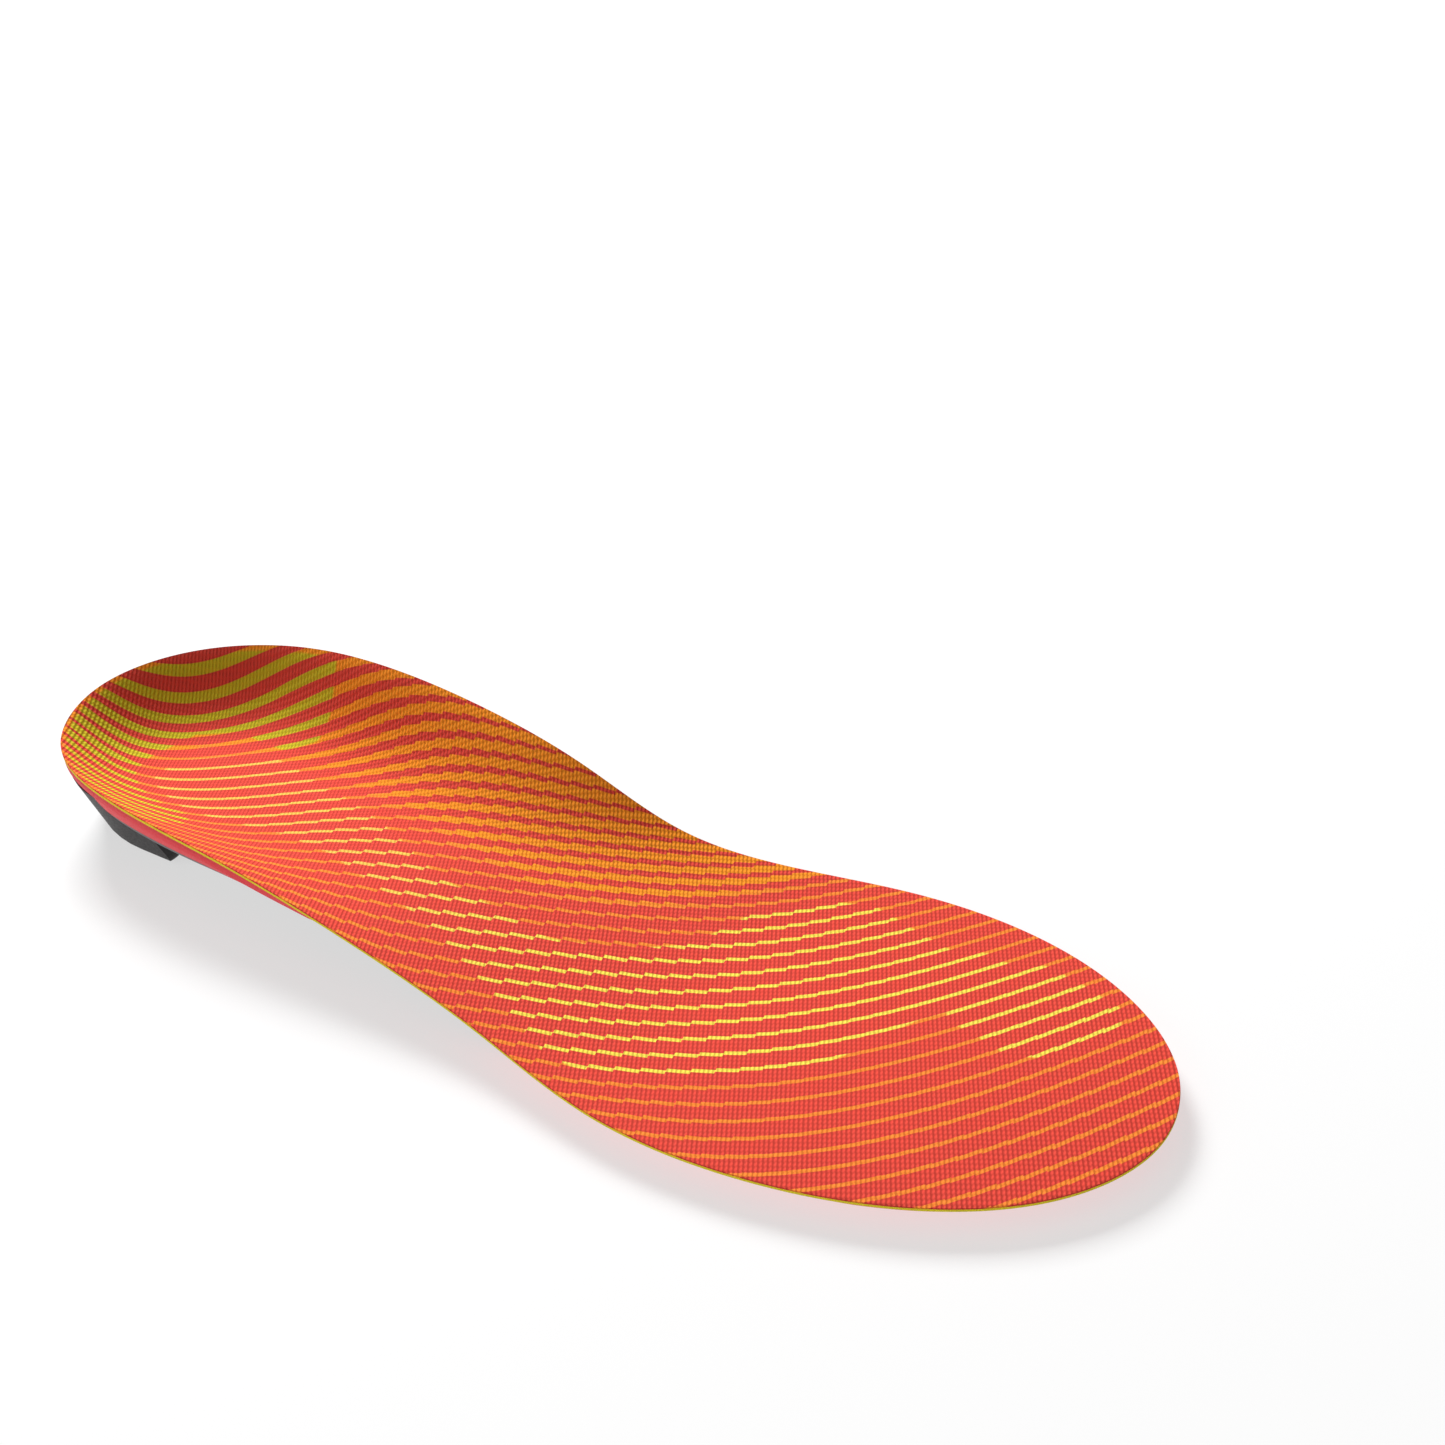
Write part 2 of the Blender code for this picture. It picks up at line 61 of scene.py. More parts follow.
# Top edge of the insole (x, y, z): up the inner side from the heel, round the toes and back.
RIM = [
    (0, 0, 25.5), (8, 19.5, 27.2), (30, 34, 29), (66, 37.5, 31.3), (105, 36, 29),
    (135, 34.3, 23), (160, 35, 13.6), (184, 39.8, 9), (216, 47.6, 7.2), (246, 48, 6.7),
    (275, 38, 6.4), (292, 21, 6.2), (296, 4, 6), (288, -17, 5.8), (264, -36.5, 5.8),
    (230, -47.6, 6.1), (196, -49.2, 6.8), (160, -42.6, 9.4), (120, -38.2, 14.8),
    (76, -35.9, 20.2), (34, -32.3, 22.4), (9, -21.5, 23.6),
]

# Heights of the foot bed and of the underside along the spine.
HEEL_FLOOR = 12.4
TOE_FLOOR = 6.4
ARCH_LIFT = 0.9
RIM_ROLL = 0.6          # how far the heel cup's wall rolls over level at its rim
SHELL_REST = 3.0        # underside of the shell over the ground at the heel
ARCH_HOLLOW = 1.4       # how much higher the underside is in the arch
HEEL_EDGE = 2.8         # height of the cut edge round the heel and arch
TOE_EDGE = 2.6          # height of the cut edge round the forefoot

# Layers, measured square to the surface; the stretches limit how tall they stand on a steep wall.
FOAM_STRETCH = 1.35
SHELL_STRETCH = 1.8
COVER = 0.9
CUSHION = 2.0
CUSHION_EDGE = 0.6
SHELL = 1.8
SHELL_EDGE = 0.9
HEEL_PAD = 2.4
BALL_POD = 1.6
INLAY = 0.9

# Outline of the stabiliser shell (x, y), from the back of the heel up the inner side.
SHELL_OUTLINE = [
    (1.8, 0), (9.2, 18.6), (31, 32.5), (66, 35.9), (105, 34.4), (135, 32.8), (158, 32.8),
    (172, 30), (179.5, 21), (181, 6), (179, -9), (174.5, -24), (167, -34), (152, -37),
    (120, -35.2), (76, -33.2), (34, -29.9), (10.2, -20.2),
]
SHELL_SPINE = (36.0, 150.0)

# The arch inlay is a drop: round in front, drawn out to a point over the heel.
INLAY_OUTLINE = [
    (38, 4.2), (58, 8.2), (84, 10.4), (112, 9), (129, 8.5), (138, 1.5), (138, -6.5),
    (129, -12.8), (104, -12.6), (78, -8.8), (56, -3.2),
]

# Heel pad and horseshoe share the heel's centre.
HEEL_CENTRE = (36.0, 0.0)
PAD_RADII = (20.0, 16.0)
OPENING_CENTRE = (32.0, 0.0)
OPENING_RADIUS = 16.3
HORSESHOE_FOOT = (31.5, 24.8, 26.5)     # reach to the back, outer side and inner side at the ground
HORSESHOE_DRAFT = (0.17, 0.37, 0.30)    # how much further each reaches per mm of height
HORSESHOE_TOP = (16.0, 19.0, 21.0)      # height of its lip at the back, outer side and inner side
HORSESHOE_ROUND = 1.5
HORSESHOE_LENGTH = 64.0

# Moulded grooves of the forefoot: closed loops round three pods, and an open line round the fourth.
OUTER_TOE_POD = [
    (229, -3), (238, -1), (273, -3.5), (277, -9), (266, -20), (246, -29), (220, -36.8),
    (214, -34.5), (217, -26),
]
INNER_TOE_POD = [
    (240, 9), (250, 5), (268, 4), (280, 9), (280.5, 16), (272, 24), (256, 30), (245, 29),
    (240.5, 20),
]
BALL_RING = [
    (199, 20), (202, 11), (211, 7), (224, 8), (229.5, 14), (231, 24), (225, 31.5), (212, 33),
    (203, 29),
]
POD_OUTLINE = [
    (203, 20), (205, 13), (212, 10.5), (222, 11), (226, 15.5), (227, 23), (222, 28),
    (213, 29.5), (206, 26.5),
]
BALL_LINE = [
    (185, -33.5), (193, -37), (202, -34), (210, -21), (219, -6), (217.5, -0.5), (207, 0.5),
    (199, 4), (194, 8.3), (190.5, 6.5), (187, 3),
]

GAP = 0.05              # the layers are glued together: only a hair between two pieces
SHARP = math.radians(40)

# Rings of the fine meshes, as shares of the way from the spine to the rim.
AROUND = (190, 66)
COVER_RINGS = np.r_[np.linspace(0, 0.9, 39), np.linspace(0.92, 1.0, 8)]
UNDER_RINGS = np.array([0, 0.2, 0.4, 0.55, 0.68, 0.78, 0.86, 0.92, 0.97, 1.0])
FOAM_RINGS = np.array([0, 0.2, 0.4, 0.55, 0.68, 0.78, 0.86, 0.92, 0.97, 1.0])
BASE_UNDER_RINGS = np.r_[0, 0.25, 0.5, np.linspace(0.66, 0.9, 9), np.linspace(0.92, 1.0, 7)]
SHELL_FINE = np.r_[np.linspace(0, 0.6, 5), np.linspace(0.66, 0.9, 9), 0.93, 0.96, 0.98, 1.0]
EDGE_ROUND = 0.35
EDGE_CUT_FROM = (75, 115)
POD_ROUND = 0.6
HORSESHOE_ENDS = 2.6    # how far the horseshoe is rounded at its ends and round its opening
GROOVE_PROFILE = [
    (1.7, -2.0), (1.7, -0.12), (1.35, 0.0), (1.1, 0.12), (0.95, 0.35), (0.82, 0.7), (0.6, 1.0),
    (0.3, 1.16), (0.02, 1.2),
]

# Stripes of the knit. One crosses the middle every STRIPE_PITCH, and they close up to the toes.
STRIPE_PITCH = 9.5
FIRST_STRIPE = 31.4
CLOSE_FROM, CLOSE_OVER = 180, 50
STRIPE_SIDE = 40        # distance from the middle at which tilt, bow and twist count once
THIN = 1.0              # width of a thin stripe
BOLD = 2.05             # and of a bold one
HEEL_BAR = 0.25         # extra width of the bars on the heel's wall
# The inner side of this line has bold stripes (x, y).
BOLD_FROM = np.array([
    (0, -25), (15, -20), (22, -8), (30, 4), (40, 8), (60, 9), (80, 8), (100, 5), (120, 1),
    (140, -1.5), (155, 2), (170, 11), (185, 26), (200, 45), (300, 60),
])
# The knit's columns, where stripes step sideways: their first place and pitch at y = 0, at the
# heel and at the toes, and where the pitch narrows. Then the step's size (x, step).
FIRST_COLUMN = -25.6
COLUMN_PITCH = (5.86, 4.5)
COLUMN_NARROWS = (150, 225)
STEPS = np.array([(45, 0), (75, -0.1), (100, -0.2), (175, -0.2), (200, -0.14), (215, -0.09),
                  (240, 0), (270, 0.07)])
KNIT_TURN = math.atan2(1.75, 1) + math.pi / 2
KNIT_PITCH = 0.95
KNIT_LOOP = 1.3
HATCH_TURN = math.radians(45)

# Colour fields of the knit (x, y).
BALL_YELLOW = [
    (135, -9), (128, -18), (137, -24.2), (157, -32), (177, -40), (190, -40), (204, -31),
    (228, -13), (234, 1), (238.5, 10.3), (242.5, 15.5), (243, 13), (249, 11.8), (254, 10.8),
    (259, 9.2), (267, 12.6), (276, 28.5), (273.5, 34.5), (264, 37.5), (254, 39.5), (246, 36),
    (241, 37), (233, 34), (222, 36.5), (212, 39), (203, 36), (189, 25), (186, 15.5), (182, 6),
    (170, -4.5), (155, -10.5),
]
HEEL_PALE = [
    (28, -3), (30, -13), (37, -15.5), (43, -17.5), (50, -18.5), (58, -17.5), (68, -15.5),
    (77, -14), (93, -14.5), (107, -17.8), (122, -20.8), (137, -25), (160, -33), (153, -10.5),
    (141, -10.5), (133, -8.8), (125, -8.3), (117, -6.5), (110, -4), (104, -1.5), (98, 0.5),
    (91.5, 2.5), (84.5, 4.3), (78, 5.8), (71, 6.8), (65.5, 8.3), (59, 9.5), (52, 10.5), (44, 9.5),
]
HEEL_BARS = [
    (-9, 0), (0, -38), (30, -45), (50, -38), (56, -27), (55, -24), (52, -20.5), (45, -20.5),
    (37, -19.5), (31, -17.5), (26, -14.5), (23, -11), (21.5, -6), (22, -1), (24, 8), (33, 14.5),
    (50, 14), (57, 20), (56, 27), (53, 33), (50, 40), (20, 45), (-5, 25),
]
CORAL, CORAL_SHADE = (229, 76, 63), (190, 52, 42)
ORANGE, BOLD_ORANGE = (255, 140, 55), (255, 152, 40)
PALE, YELLOW, OLIVE = (255, 198, 90), (255, 226, 85), (208, 192, 40)
EDGE_DARK, EDGE_LIGHT = (236, 214, 40), (255, 240, 70)
# The third colour of the base foam is painted shade, laid into its moulded grooves.
BASE_RED, BASE_PORE, GROOVE_PAINTED_SHADE = (240, 54, 65), (222, 40, 52), (150, 16, 28)
CUSHION_RED, CUSHION_PORE = (236, 60, 62), (214, 44, 50)
CHARCOAL, CHARCOAL_PORE = (46, 44, 45), (36, 35, 36)
GEL, GEL_PORE = (226, 150, 70), (200, 124, 52)

# Engraved outlines on the shell, round the arch and across its front.
STADIUM = [
    (-20, -20), (48, -21), (75, -22), (100, -22.8), (125, -23.3), (134, -22), (141, -17.6),
    (145.8, -11), (147, -4), (145, 4), (140, 10), (130, 15), (112, 15.8), (95, 16), (84, 17),
    (75, 19), (65, 26), (40, 48), (-20, 60),
]
SKIRT = [
    (-20, 60), (40, 46), (68, 23), (100, 22.3), (130, 22), (140, 21), (147, 18), (153, 13),
    (156, 6), (157, 0), (157, -20), (158, -27), (160, -33), (162, -50), (-20, -50),
]
NOSE = [(-20, 60), (178, 30), (175, 20), (170, 12), (165, 0), (162, -8), (161, -15), (161, -32),
        (161, -60), (-20, -60)]

# Groups of five flex lines across the shell: their span in x and in y.
FLEX_LINES = [((91.5, 99.5), (-32, -23)), ((102, 108), (16, 21))]
HATCH_PITCH = 1.0
SHELL_GREY, SHELL_PALE, SHELL_LINE = (72, 71, 72), (79, 78, 79), (34, 33, 34)

# The camera: where it is, which way it looks, and the object's scale in its view.
EYE = (0.23607, -0.26627, 0.27562)
LOOK = (-0.48461, 0.69788, -0.52737)
UP = (-0.25682, 0.46281, 0.84845)
LENS = 47.66

FLOOR_COLOR, FLOOR_GLOW = (0.35, 0.35, 0.35), 0.62
SKY, KEY, TOP, FILL = 0.15, 62.0, 1.0, 5.5


# ---------------------------------------------------------------- shape of the insole

def smoothstep(low, high, x):
    t = np.clip((np.asarray(x, float) - low) / (high - low), 0, 1)
    return t * t * (3 - 2 * t)


def bump(middle, width, x):
    return np.exp(-(((np.asarray(x, float) - middle) / width) ** 2))


def closed_spline(points, count=900):
    """Points on the smooth closed curve (periodic cubic spline) through the given points."""
    knots = np.array(points, float)
    step = np.linalg.norm((np.roll(knots, -1, axis=0) - knots)[:, :2], axis=1)
    before = np.roll(step, 1)
    slope = (np.roll(knots, -1, axis=0) - knots) / step[:, None]
    index = np.arange(len(knots))
    after = (index + 1) % len(knots)
    matrix = np.diag(2 * (before + step))
    matrix[index, after] = step
    matrix[index, index - 1] = before
    bend = np.linalg.solve(matrix, 6 * (slope - np.roll(slope, 1, axis=0)))
    start = np.r_[0, np.cumsum(step)]
    along = np.linspace(0, start[-1], count, endpoint=False)
    i = np.searchsorted(start, along, side="right") - 1
    j = after[i]
    h = step[i][:, None]
    t = (along - start[i])[:, None]
    curve = (bend[i] * (h - t) ** 3 + bend[j] * t**3) / (6 * h)
    return curve + (knots[i] / h - bend[i] * h / 6) * (h - t) + (knots[j] / h - bend[j] * h / 6) * t


class Outline:
    """A closed outline, read by angle round either end of a spine and by x between them."""

    def __init__(self, points, spine, spine_y=0.0):
        self.line = closed_spline(points)
        self.spine = spine
        self.spine_y = spine_y
        self.ends = [self.by_angle(x) for x in spine]
        self.sides = [self.by_x(sign) for sign in (1, -1)]

    def by_angle(self, centre):
        dx, dy = self.line[:, 0] - centre, self.line[:, 1] - self.spine_y
        angle = np.arctan2(dy, dx)
        order = np.argsort(angle)
        values = np.c_[np.hypot(dx, dy), self.line[:, 2:]][order]
        return angle[order], values

    def by_x(self, sign):
        side = self.line[(self.line[:, 1] - self.spine_y) * sign > 0]
        order = np.argsort(side[:, 0])
        values = np.c_[np.abs(side[:, 1] - self.spine_y), side[:, 2:]][order]
        return side[order, 0], values

    def reach(self, x, y):
        """How far (x, y) lies from the spine to the outline, 0 to 1, and the outline's height there."""
        x, y = np.broadcast_arrays(np.asarray(x, float), np.asarray(y, float) - self.spine_y)
        anchor = np.clip(x, *self.spine)
        angle = np.arctan2(y, x - anchor)
        found = np.zeros(x.shape + (self.line.shape[1] - 1,))
        for k in range(found.shape[-1]):
            heel, toe = (
                np.interp(angle, table, values[:, k], period=2 * math.pi) for table, values in self.ends
            )
            inner, outer = (np.interp(x, table, values[:, k]) for table, values in self.sides)
            side = np.where(y >= 0, inner, outer)
            found[..., k] = np.where(x < self.spine[0], heel, np.where(x > self.spine[1], toe, side))
        share = np.hypot(x - anchor, y) / found[..., 0]
        return share, found[..., -1]

    def samples(self, side_steps, fan_steps):
        """Points round the outline, each with its anchor on the spine; both sides share anchors."""
        stations = np.linspace(*self.spine, side_steps + 1)
        fan = np.linspace(0, math.pi, fan_steps * 2 + 1)[1:-1]
        points = []
        for x in stations:
            points.append((x, np.interp(x, *self.width(0)), x))
        for turn in fan:
            points.append(self.fan_point(1, math.pi / 2 - turn))
        for x in stations[::-1]:
            points.append((x, -np.interp(x, *self.width(1)), x))
        for turn in fan:
            points.append(self.fan_point(0, -math.pi / 2 - turn))
        table = np.array(points)
        table[:, 1] += self.spine_y
        anchors = np.c_[table[:, 2], np.full(len(table), self.spine_y)]
        return table[:, :2], anchors

    def width(self, side):
        table, values = self.sides[side]
        return table, values[:, 0]

    def fan_point(self, end, angle):
        table, values = self.ends[end]
        radius = np.interp(angle, table, values[:, 0], period=2 * math.pi)
        centre = self.spine[end]
        return centre + radius * math.cos(angle), radius * math.sin(angle), centre


INSOLE = Outline(RIM, SPINE)


def foot_bed(x, y):
    """Height of the top surface."""
    share, rim = INSOLE.reach(x, y)
    floor = HEEL_FLOOR + (TOE_FLOOR - HEEL_FLOOR) * smoothstep(115, 200, x) + ARCH_LIFT * bump(100, 28, x)
    power = 3.2 - 0.9 * bump(112, 38, x) * (np.asarray(y) > 0) - 0.6 * smoothstep(150, 200, x)
    roll = RIM_ROLL * (1 - smoothstep(90, 160, x))
    wall = share ** (power * (1 + 0.55 * roll))
    return floor + (rim - floor) * wall * (1 + roll * (1 - wall))


def underside(x, y):
    """Height of the outer surface: shell, foam bottom and the bevel round the forefoot."""
    share, rim = INSOLE.reach(x, y)
    front = smoothstep(150, 188, x)
    sole = SHELL_REST * (1 - smoothstep(140, 184, x)) + ARCH_HOLLOW * bump(105, 30, x) * (1 - front)
    edge = HEEL_EDGE + (TOE_EDGE - HEEL_EDGE) * smoothstep(150, 200, x)
    flat = 0.78 * front
    power = 5.5 - 2.0 * bump(112, 38, x) - 3.9 * front
    bevel = np.clip((share - flat) / (1 - flat), 0, None) ** power
    return sole + (rim - edge - sole) * bevel


def steepness(surface, x, y, limit):
    """How much taller a layer is on a slope than where the surface is level, up to a limit."""
    d = 0.2
    rise_x = (surface(x + d, y) - surface(x - d, y)) / (2 * d)
    rise_y = (surface(x, y + d) - surface(x, y - d)) / (2 * d)
    return np.minimum(np.sqrt(1 + rise_x**2 + rise_y**2), limit)


def below_top(depth):
    return lambda x, y: foot_bed(x, y) - depth * steepness(foot_bed, x, y, FOAM_STRETCH)


def above_bottom(depth):
    return lambda x, y: underside(x, y) + depth * steepness(underside, x, y, SHELL_STRETCH)


def shell_inside(gap):
    """The shell thins out towards its edge; gap is the clearance inside it."""
    def height(x, y):
        share, _ = SHELL_SHAPE.reach(x, y)
        thickness = SHELL + (SHELL_EDGE - SHELL) * smoothstep(0.7, 1.0, share)
        return above_bottom(thickness + gap)(x, y)
    return height


def cushion_bottom(x, y):
    """The cushion foam thins out towards the rim."""
    share, _ = INSOLE.reach(x, y)
    thickness = CUSHION + (CUSHION_EDGE - CUSHION) * smoothstep(0.5, 1.0, share)
    return below_top(COVER + GAP + thickness)(x, y)


def base_top(x, y):
    return cushion_bottom(x, y) - GAP * steepness(foot_bed, x, y, FOAM_STRETCH)


def heel_ring(height, inset=0.0):
    """Outline of the horseshoe's outer wall at a height: half an ellipse and two straight sides."""
    back, outer, inner = (
        foot + draft * height - inset for foot, draft in zip(HORSESHOE_FOOT, HORSESHOE_DRAFT)
    )
    points = [(HORSESHOE_LENGTH, inner)]
    for turn in np.linspace(90, -90, 25):
        angle = math.radians(turn)
        side = inner if angle > 0 else outer
        points.append((HEEL_CENTRE[0] - back * math.cos(angle), side * math.sin(angle)))
    points.append((HORSESHOE_LENGTH, -outer))
    return np.array(points)


def lip_heights():
    """Height of the horseshoe's lip round the same points as heel_ring()."""
    back, outer, inner = HORSESHOE_TOP
    heights = [inner]
    for turn in np.linspace(90, -90, 25):
        side = inner if turn > 0 else outer
        share = math.sin(math.radians(abs(turn))) ** 2
        heights.append(back + (side - back) * share)
    return np.array(heights + [outer])


def horseshoe_plan():
    """Plan of the horseshoe: open in front, with a blunt outer end and a hooked inner end."""
    cx, cy = OPENING_CENTRE
    arc = [
        (cx + OPENING_RADIUS * math.cos(a), cy + OPENING_RADIUS * math.sin(a))
        for a in np.radians(np.linspace(-75, -278, 21))
    ]
    outer_end = [(37, -44), (41, -36), (44.8, -30.5), (47, -26.5), (47.6, -23), (46.3, -19.2), (42.5, -16.3)]
    inner_end = [
        (41, 14.8), (44.6, 12.2), (48.5, 11.6), (52.5, 13.8), (56, 18.5), (57.5, 23.5), (55.5, 28.5),
        (51, 34),
    ]
    far_side = [(44, 44), (-10, 44), (-10, -44)]
    return outer_end + arc + inner_end + far_side


def open_line(points, count):
    """Evenly spaced points on a smooth open curve through the given ones."""
    back_and_forth = list(points) + list(points[-2:0:-1])
    line = closed_spline(back_and_forth, 1200)
    ends = [np.linalg.norm(line - p, axis=1).argmin() for p in (points[0], points[-1])]
    half = line[ends[0]: ends[1] + 1]
    travel = np.r_[0, np.cumsum(np.linalg.norm(np.diff(half, axis=0), axis=1))]
    even = np.linspace(0, travel[-1], count)
    return np.c_[np.interp(even, travel, half[:, 0]), np.interp(even, travel, half[:, 1])]


def ellipse(centre, radii, count=16):
    turns = np.linspace(0, 2 * math.pi, count, endpoint=False)
    return [(centre[0] - radii[0] * math.cos(a), centre[1] + radii[1] * math.sin(a)) for a in turns]


SHELL_SHAPE = Outline([(*p, 0) for p in SHELL_OUTLINE], SHELL_SPINE)
INLAY_SHAPE = Outline([(*p, 0) for p in INLAY_OUTLINE], (66.0, 126.0), -1.0)
PAD_SHAPE = Outline([(*p, 0) for p in ellipse(HEEL_CENTRE, PAD_RADII)], (32.0, 40.0))
POD_SHAPE = Outline([(*p, 0) for p in POD_OUTLINE], (212.0, 218.0), 20.0)


# ---------------------------------------------------------------- fine shapes

def to_world(points):
    return (np.asarray(points, float) - np.array([*MIDDLE, 0.0])) * MM


def from_mesh(mesh):
    """Plan and height of a mesh's corners, in millimetres."""
    flat = np.zeros(len(mesh.vertices) * 3, np.float32)
    mesh.vertices.foreach_get("co", flat)
    return flat.reshape(-1, 3) / MM + np.array([*MIDDLE, 0.0])


def ring(samples, share, inset=0.0):
    """One line round the insole, part way from its spine to its rim. inset may follow x."""
    rim, anchors = samples
    arm = rim - anchors
    unit = arm / np.linalg.norm(arm, axis=1)[:, None]
    if callable(inset):
        inset = inset(rim[:, 0])[:, None]
    return anchors + (rim - unit * inset - anchors) * share


def rows_over(samples, shares, height, inset=0.0):
    """Rings lying on a surface, from the spine outwards."""
    rows = []
    for share in shares:
        at = ring(samples, share, inset)
        rows.append(np.c_[at, height(at[:, 0], at[:, 1])])
    return rows


def solid(name, rows, materials=(0,)):
    """A closed mesh through rings of points; both end rings fold onto a line or a point.

    materials gives the material of each band between two rings; the last goes on.
    """
    count = len(rows[0])
    points = np.concatenate(rows)
    faces, finish = [], []
    for r in range(len(rows) - 1):
        slot = materials[min(r, len(materials) - 1)]
        for k in range(count):
            n = (k + 1) % count
            a, b = r * count, (r + 1) * count
            faces.append((a + k, a + n, b + n, b + k))
            finish.append(slot)
    mesh = bpy.data.meshes.new(name)
    mesh.from_pydata(to_world(points).tolist(), [], faces)
    mesh.polygons.foreach_set("material_index", finish)
    bm = bmesh.new()
    bm.from_mesh(mesh)
    bm.verts.ensure_lookup_table()
    last = len(points) - count
    for group in (bm.verts[:count], bm.verts[last:]):
        bmesh.ops.remove_doubles(bm, verts=list(group), dist=0.002 * MM)
    bmesh.ops.dissolve_degenerate(bm, edges=bm.edges, dist=0.001 * MM)
    bmesh.ops.recalc_face_normals(bm, faces=bm.faces)
    bm.to_mesh(mesh)
    bm.free()
    mesh.shade_smooth()
    mesh.set_sharp_from_angle(angle=SHARP)
    obj = bpy.data.objects.new(name, mesh)
    bpy.context.scene.collection.objects.link(obj)
    return obj


def cut(obj, *tools):
    """Takes the tools' volume away from obj and removes the tools."""
    for tool in tools:
        modifier = obj.modifiers.new("cut", "BOOLEAN")
        modifier.operation = "DIFFERENCE"
        modifier.object = tool
    shaped = obj.evaluated_get(bpy.context.evaluated_depsgraph_get())
    mesh = bpy.data.meshes.new_from_object(shaped)
    obj.modifiers.clear()
    obj.data = mesh
    for tool in tools:
        bpy.data.objects.remove(tool)
    mesh.shade_smooth()
    mesh.set_sharp_from_angle(angle=SHARP)


def paint(obj, **fields):
    """Stores fields of the plan position as attributes, so patterns stay with the material."""
    at = from_mesh(obj.data)
    for name, field in fields.items():
        attribute = obj.data.attributes.new(name, "FLOAT", "POINT")
        attribute.data.foreach_set("value", np.asarray(field(at), np.float32))
    plan = obj.data.attributes.new("plan", "FLOAT_VECTOR", "POINT")
    plan.data.foreach_set("vector", at.astype(np.float32).ravel())


def inside_polygon(at, polygon):
    """Signed distance to a polygon's edge in the plan, positive inside."""
    x, y = at[:, 0], at[:, 1]
    nearest = np.full(len(x), 1e9)
    inside = np.zeros(len(x), bool)
    corners = np.array(polygon, float)
    for (ax, ay), (bx, by) in zip(corners, np.roll(corners, -1, axis=0)):
        dx, dy = bx - ax, by - ay
        t = np.clip(((x - ax) * dx + (y - ay) * dy) / (dx * dx + dy * dy), 0, 1)
        nearest = np.minimum(nearest, np.hypot(x - ax - t * dx, y - ay - t * dy))
        if dy:
            inside ^= ((ay > y) != (by > y)) & (x < ax + (y - ay) * dx / dy)
    return np.where(inside, nearest, -nearest)


def to_line(at, line):
    """Distance in the plan to an open line."""
    x, y = at[:, 0], at[:, 1]
    nearest = np.full(len(x), 1e9)
    for (ax, ay), (bx, by) in zip(line, line[1:]):
        dx, dy = bx - ax, by - ay
        t = np.clip(((x - ax) * dx + (y - ay) * dy) / (dx * dx + dy * dy), 0, 1)
        nearest = np.minimum(nearest, np.hypot(x - ax - t * dx, y - ay - t * dy))
    return nearest


def groove_distance(at):
    """Distance in the plan to the nearest moulded groove."""
    loops = [closed_spline(points, 120) for points in (OUTER_TOE_POD, INNER_TOE_POD, BALL_RING)]
    lines = [np.r_[loop, loop[:1]] for loop in loops] + [open_line(BALL_LINE, 100)]
    return np.min([to_line(at, line) for line in lines], axis=0)


# ---------------------------------------------------------------- the knit's pattern

def stripe_number(at):
    """Counts the stripes across the foot bed; a stripe runs wherever this is whole.

    Tilt turns the stripes forward to the inner side, most in the arch and at the back of the
    heel. Bow bends them round the heel cup, and the other way in the arch. Twist bends their
    ends, most at the heel.
    """
    x, v = at[:, 0], at[:, 1] / STRIPE_SIDE
    middle = (x - FIRST_STRIPE) / STRIPE_PITCH + bump(95, 35, x)
    closing = (np.maximum(x - CLOSE_FROM, 0) / CLOSE_OVER) ** 2
    tilt = -4.4 - 3.4 * bump(130, 85, x) - 3.3 * bump(0, 28, x)
    bow = 5 * np.exp(-x / 57) - 2.4 * bump(130, 45, x) + 0.3 * smoothstep(170, 210, x)
    twist = -2.6 + 2.4 * smoothstep(20, 250, x)
    return middle + closing + tilt * v + bow * v**2 + twist * v**3


def stripe_slope(at):
    step = 0.5
    ahead, aside = np.array([step, 0, 0]), np.array([0, step, 0])
    gx = stripe_number(at + ahead) - stripe_number(at - ahead)
    gy = stripe_number(at + aside) - stripe_number(at - aside)
    return np.hypot(gx, gy) / (2 * step)


def stripe_width(at):
    x, y = at[:, 0], at[:, 1]
    edge = np.interp(x, BOLD_FROM[:, 0], BOLD_FROM[:, 1])
    return THIN + (BOLD - THIN) * smoothstep(-2, 8, y - edge) + HEEL_BAR * heel_bars(at)


def heel_bars(at):
    return smoothstep(-0.5, 0.5, inside_polygon(at, HEEL_BARS))


def column(at):
    x, y = at[:, 0], at[:, 1]
    along = x + (0.21 + 0.06 * smoothstep(170, 220, x)) * y
    wide, narrow = COLUMN_PITCH
    start, end = COLUMN_NARROWS
    t = np.clip((along - start) / (end - start), 0, 1)
    narrowed = (end - start) * t**2 / 2 + np.maximum(along - end, 0)
    return (along - FIRST_COLUMN) / wide + (1 / narrow - 1 / wide) * narrowed


def step_size(at):
    return np.interp(at[:, 0], STEPS[:, 0], STEPS[:, 1])


def rim_distance(at):
    share, _ = INSOLE.reach(at[:, 0], at[:, 1])
    anchor = np.clip(at[:, 0], *SPINE)
    reach = np.hypot(at[:, 0] - anchor, at[:, 1]) / np.maximum(share, 0.01)
    return (1 - share) * reach


# ---------------------------------------------------------------- materials

def srgb(*color):
    c = np.array(color, float) / 255
    return np.where(c <= 0.04045, c / 12.92, ((c + 0.055) / 1.055) ** 2.4).tolist() + [1.0]


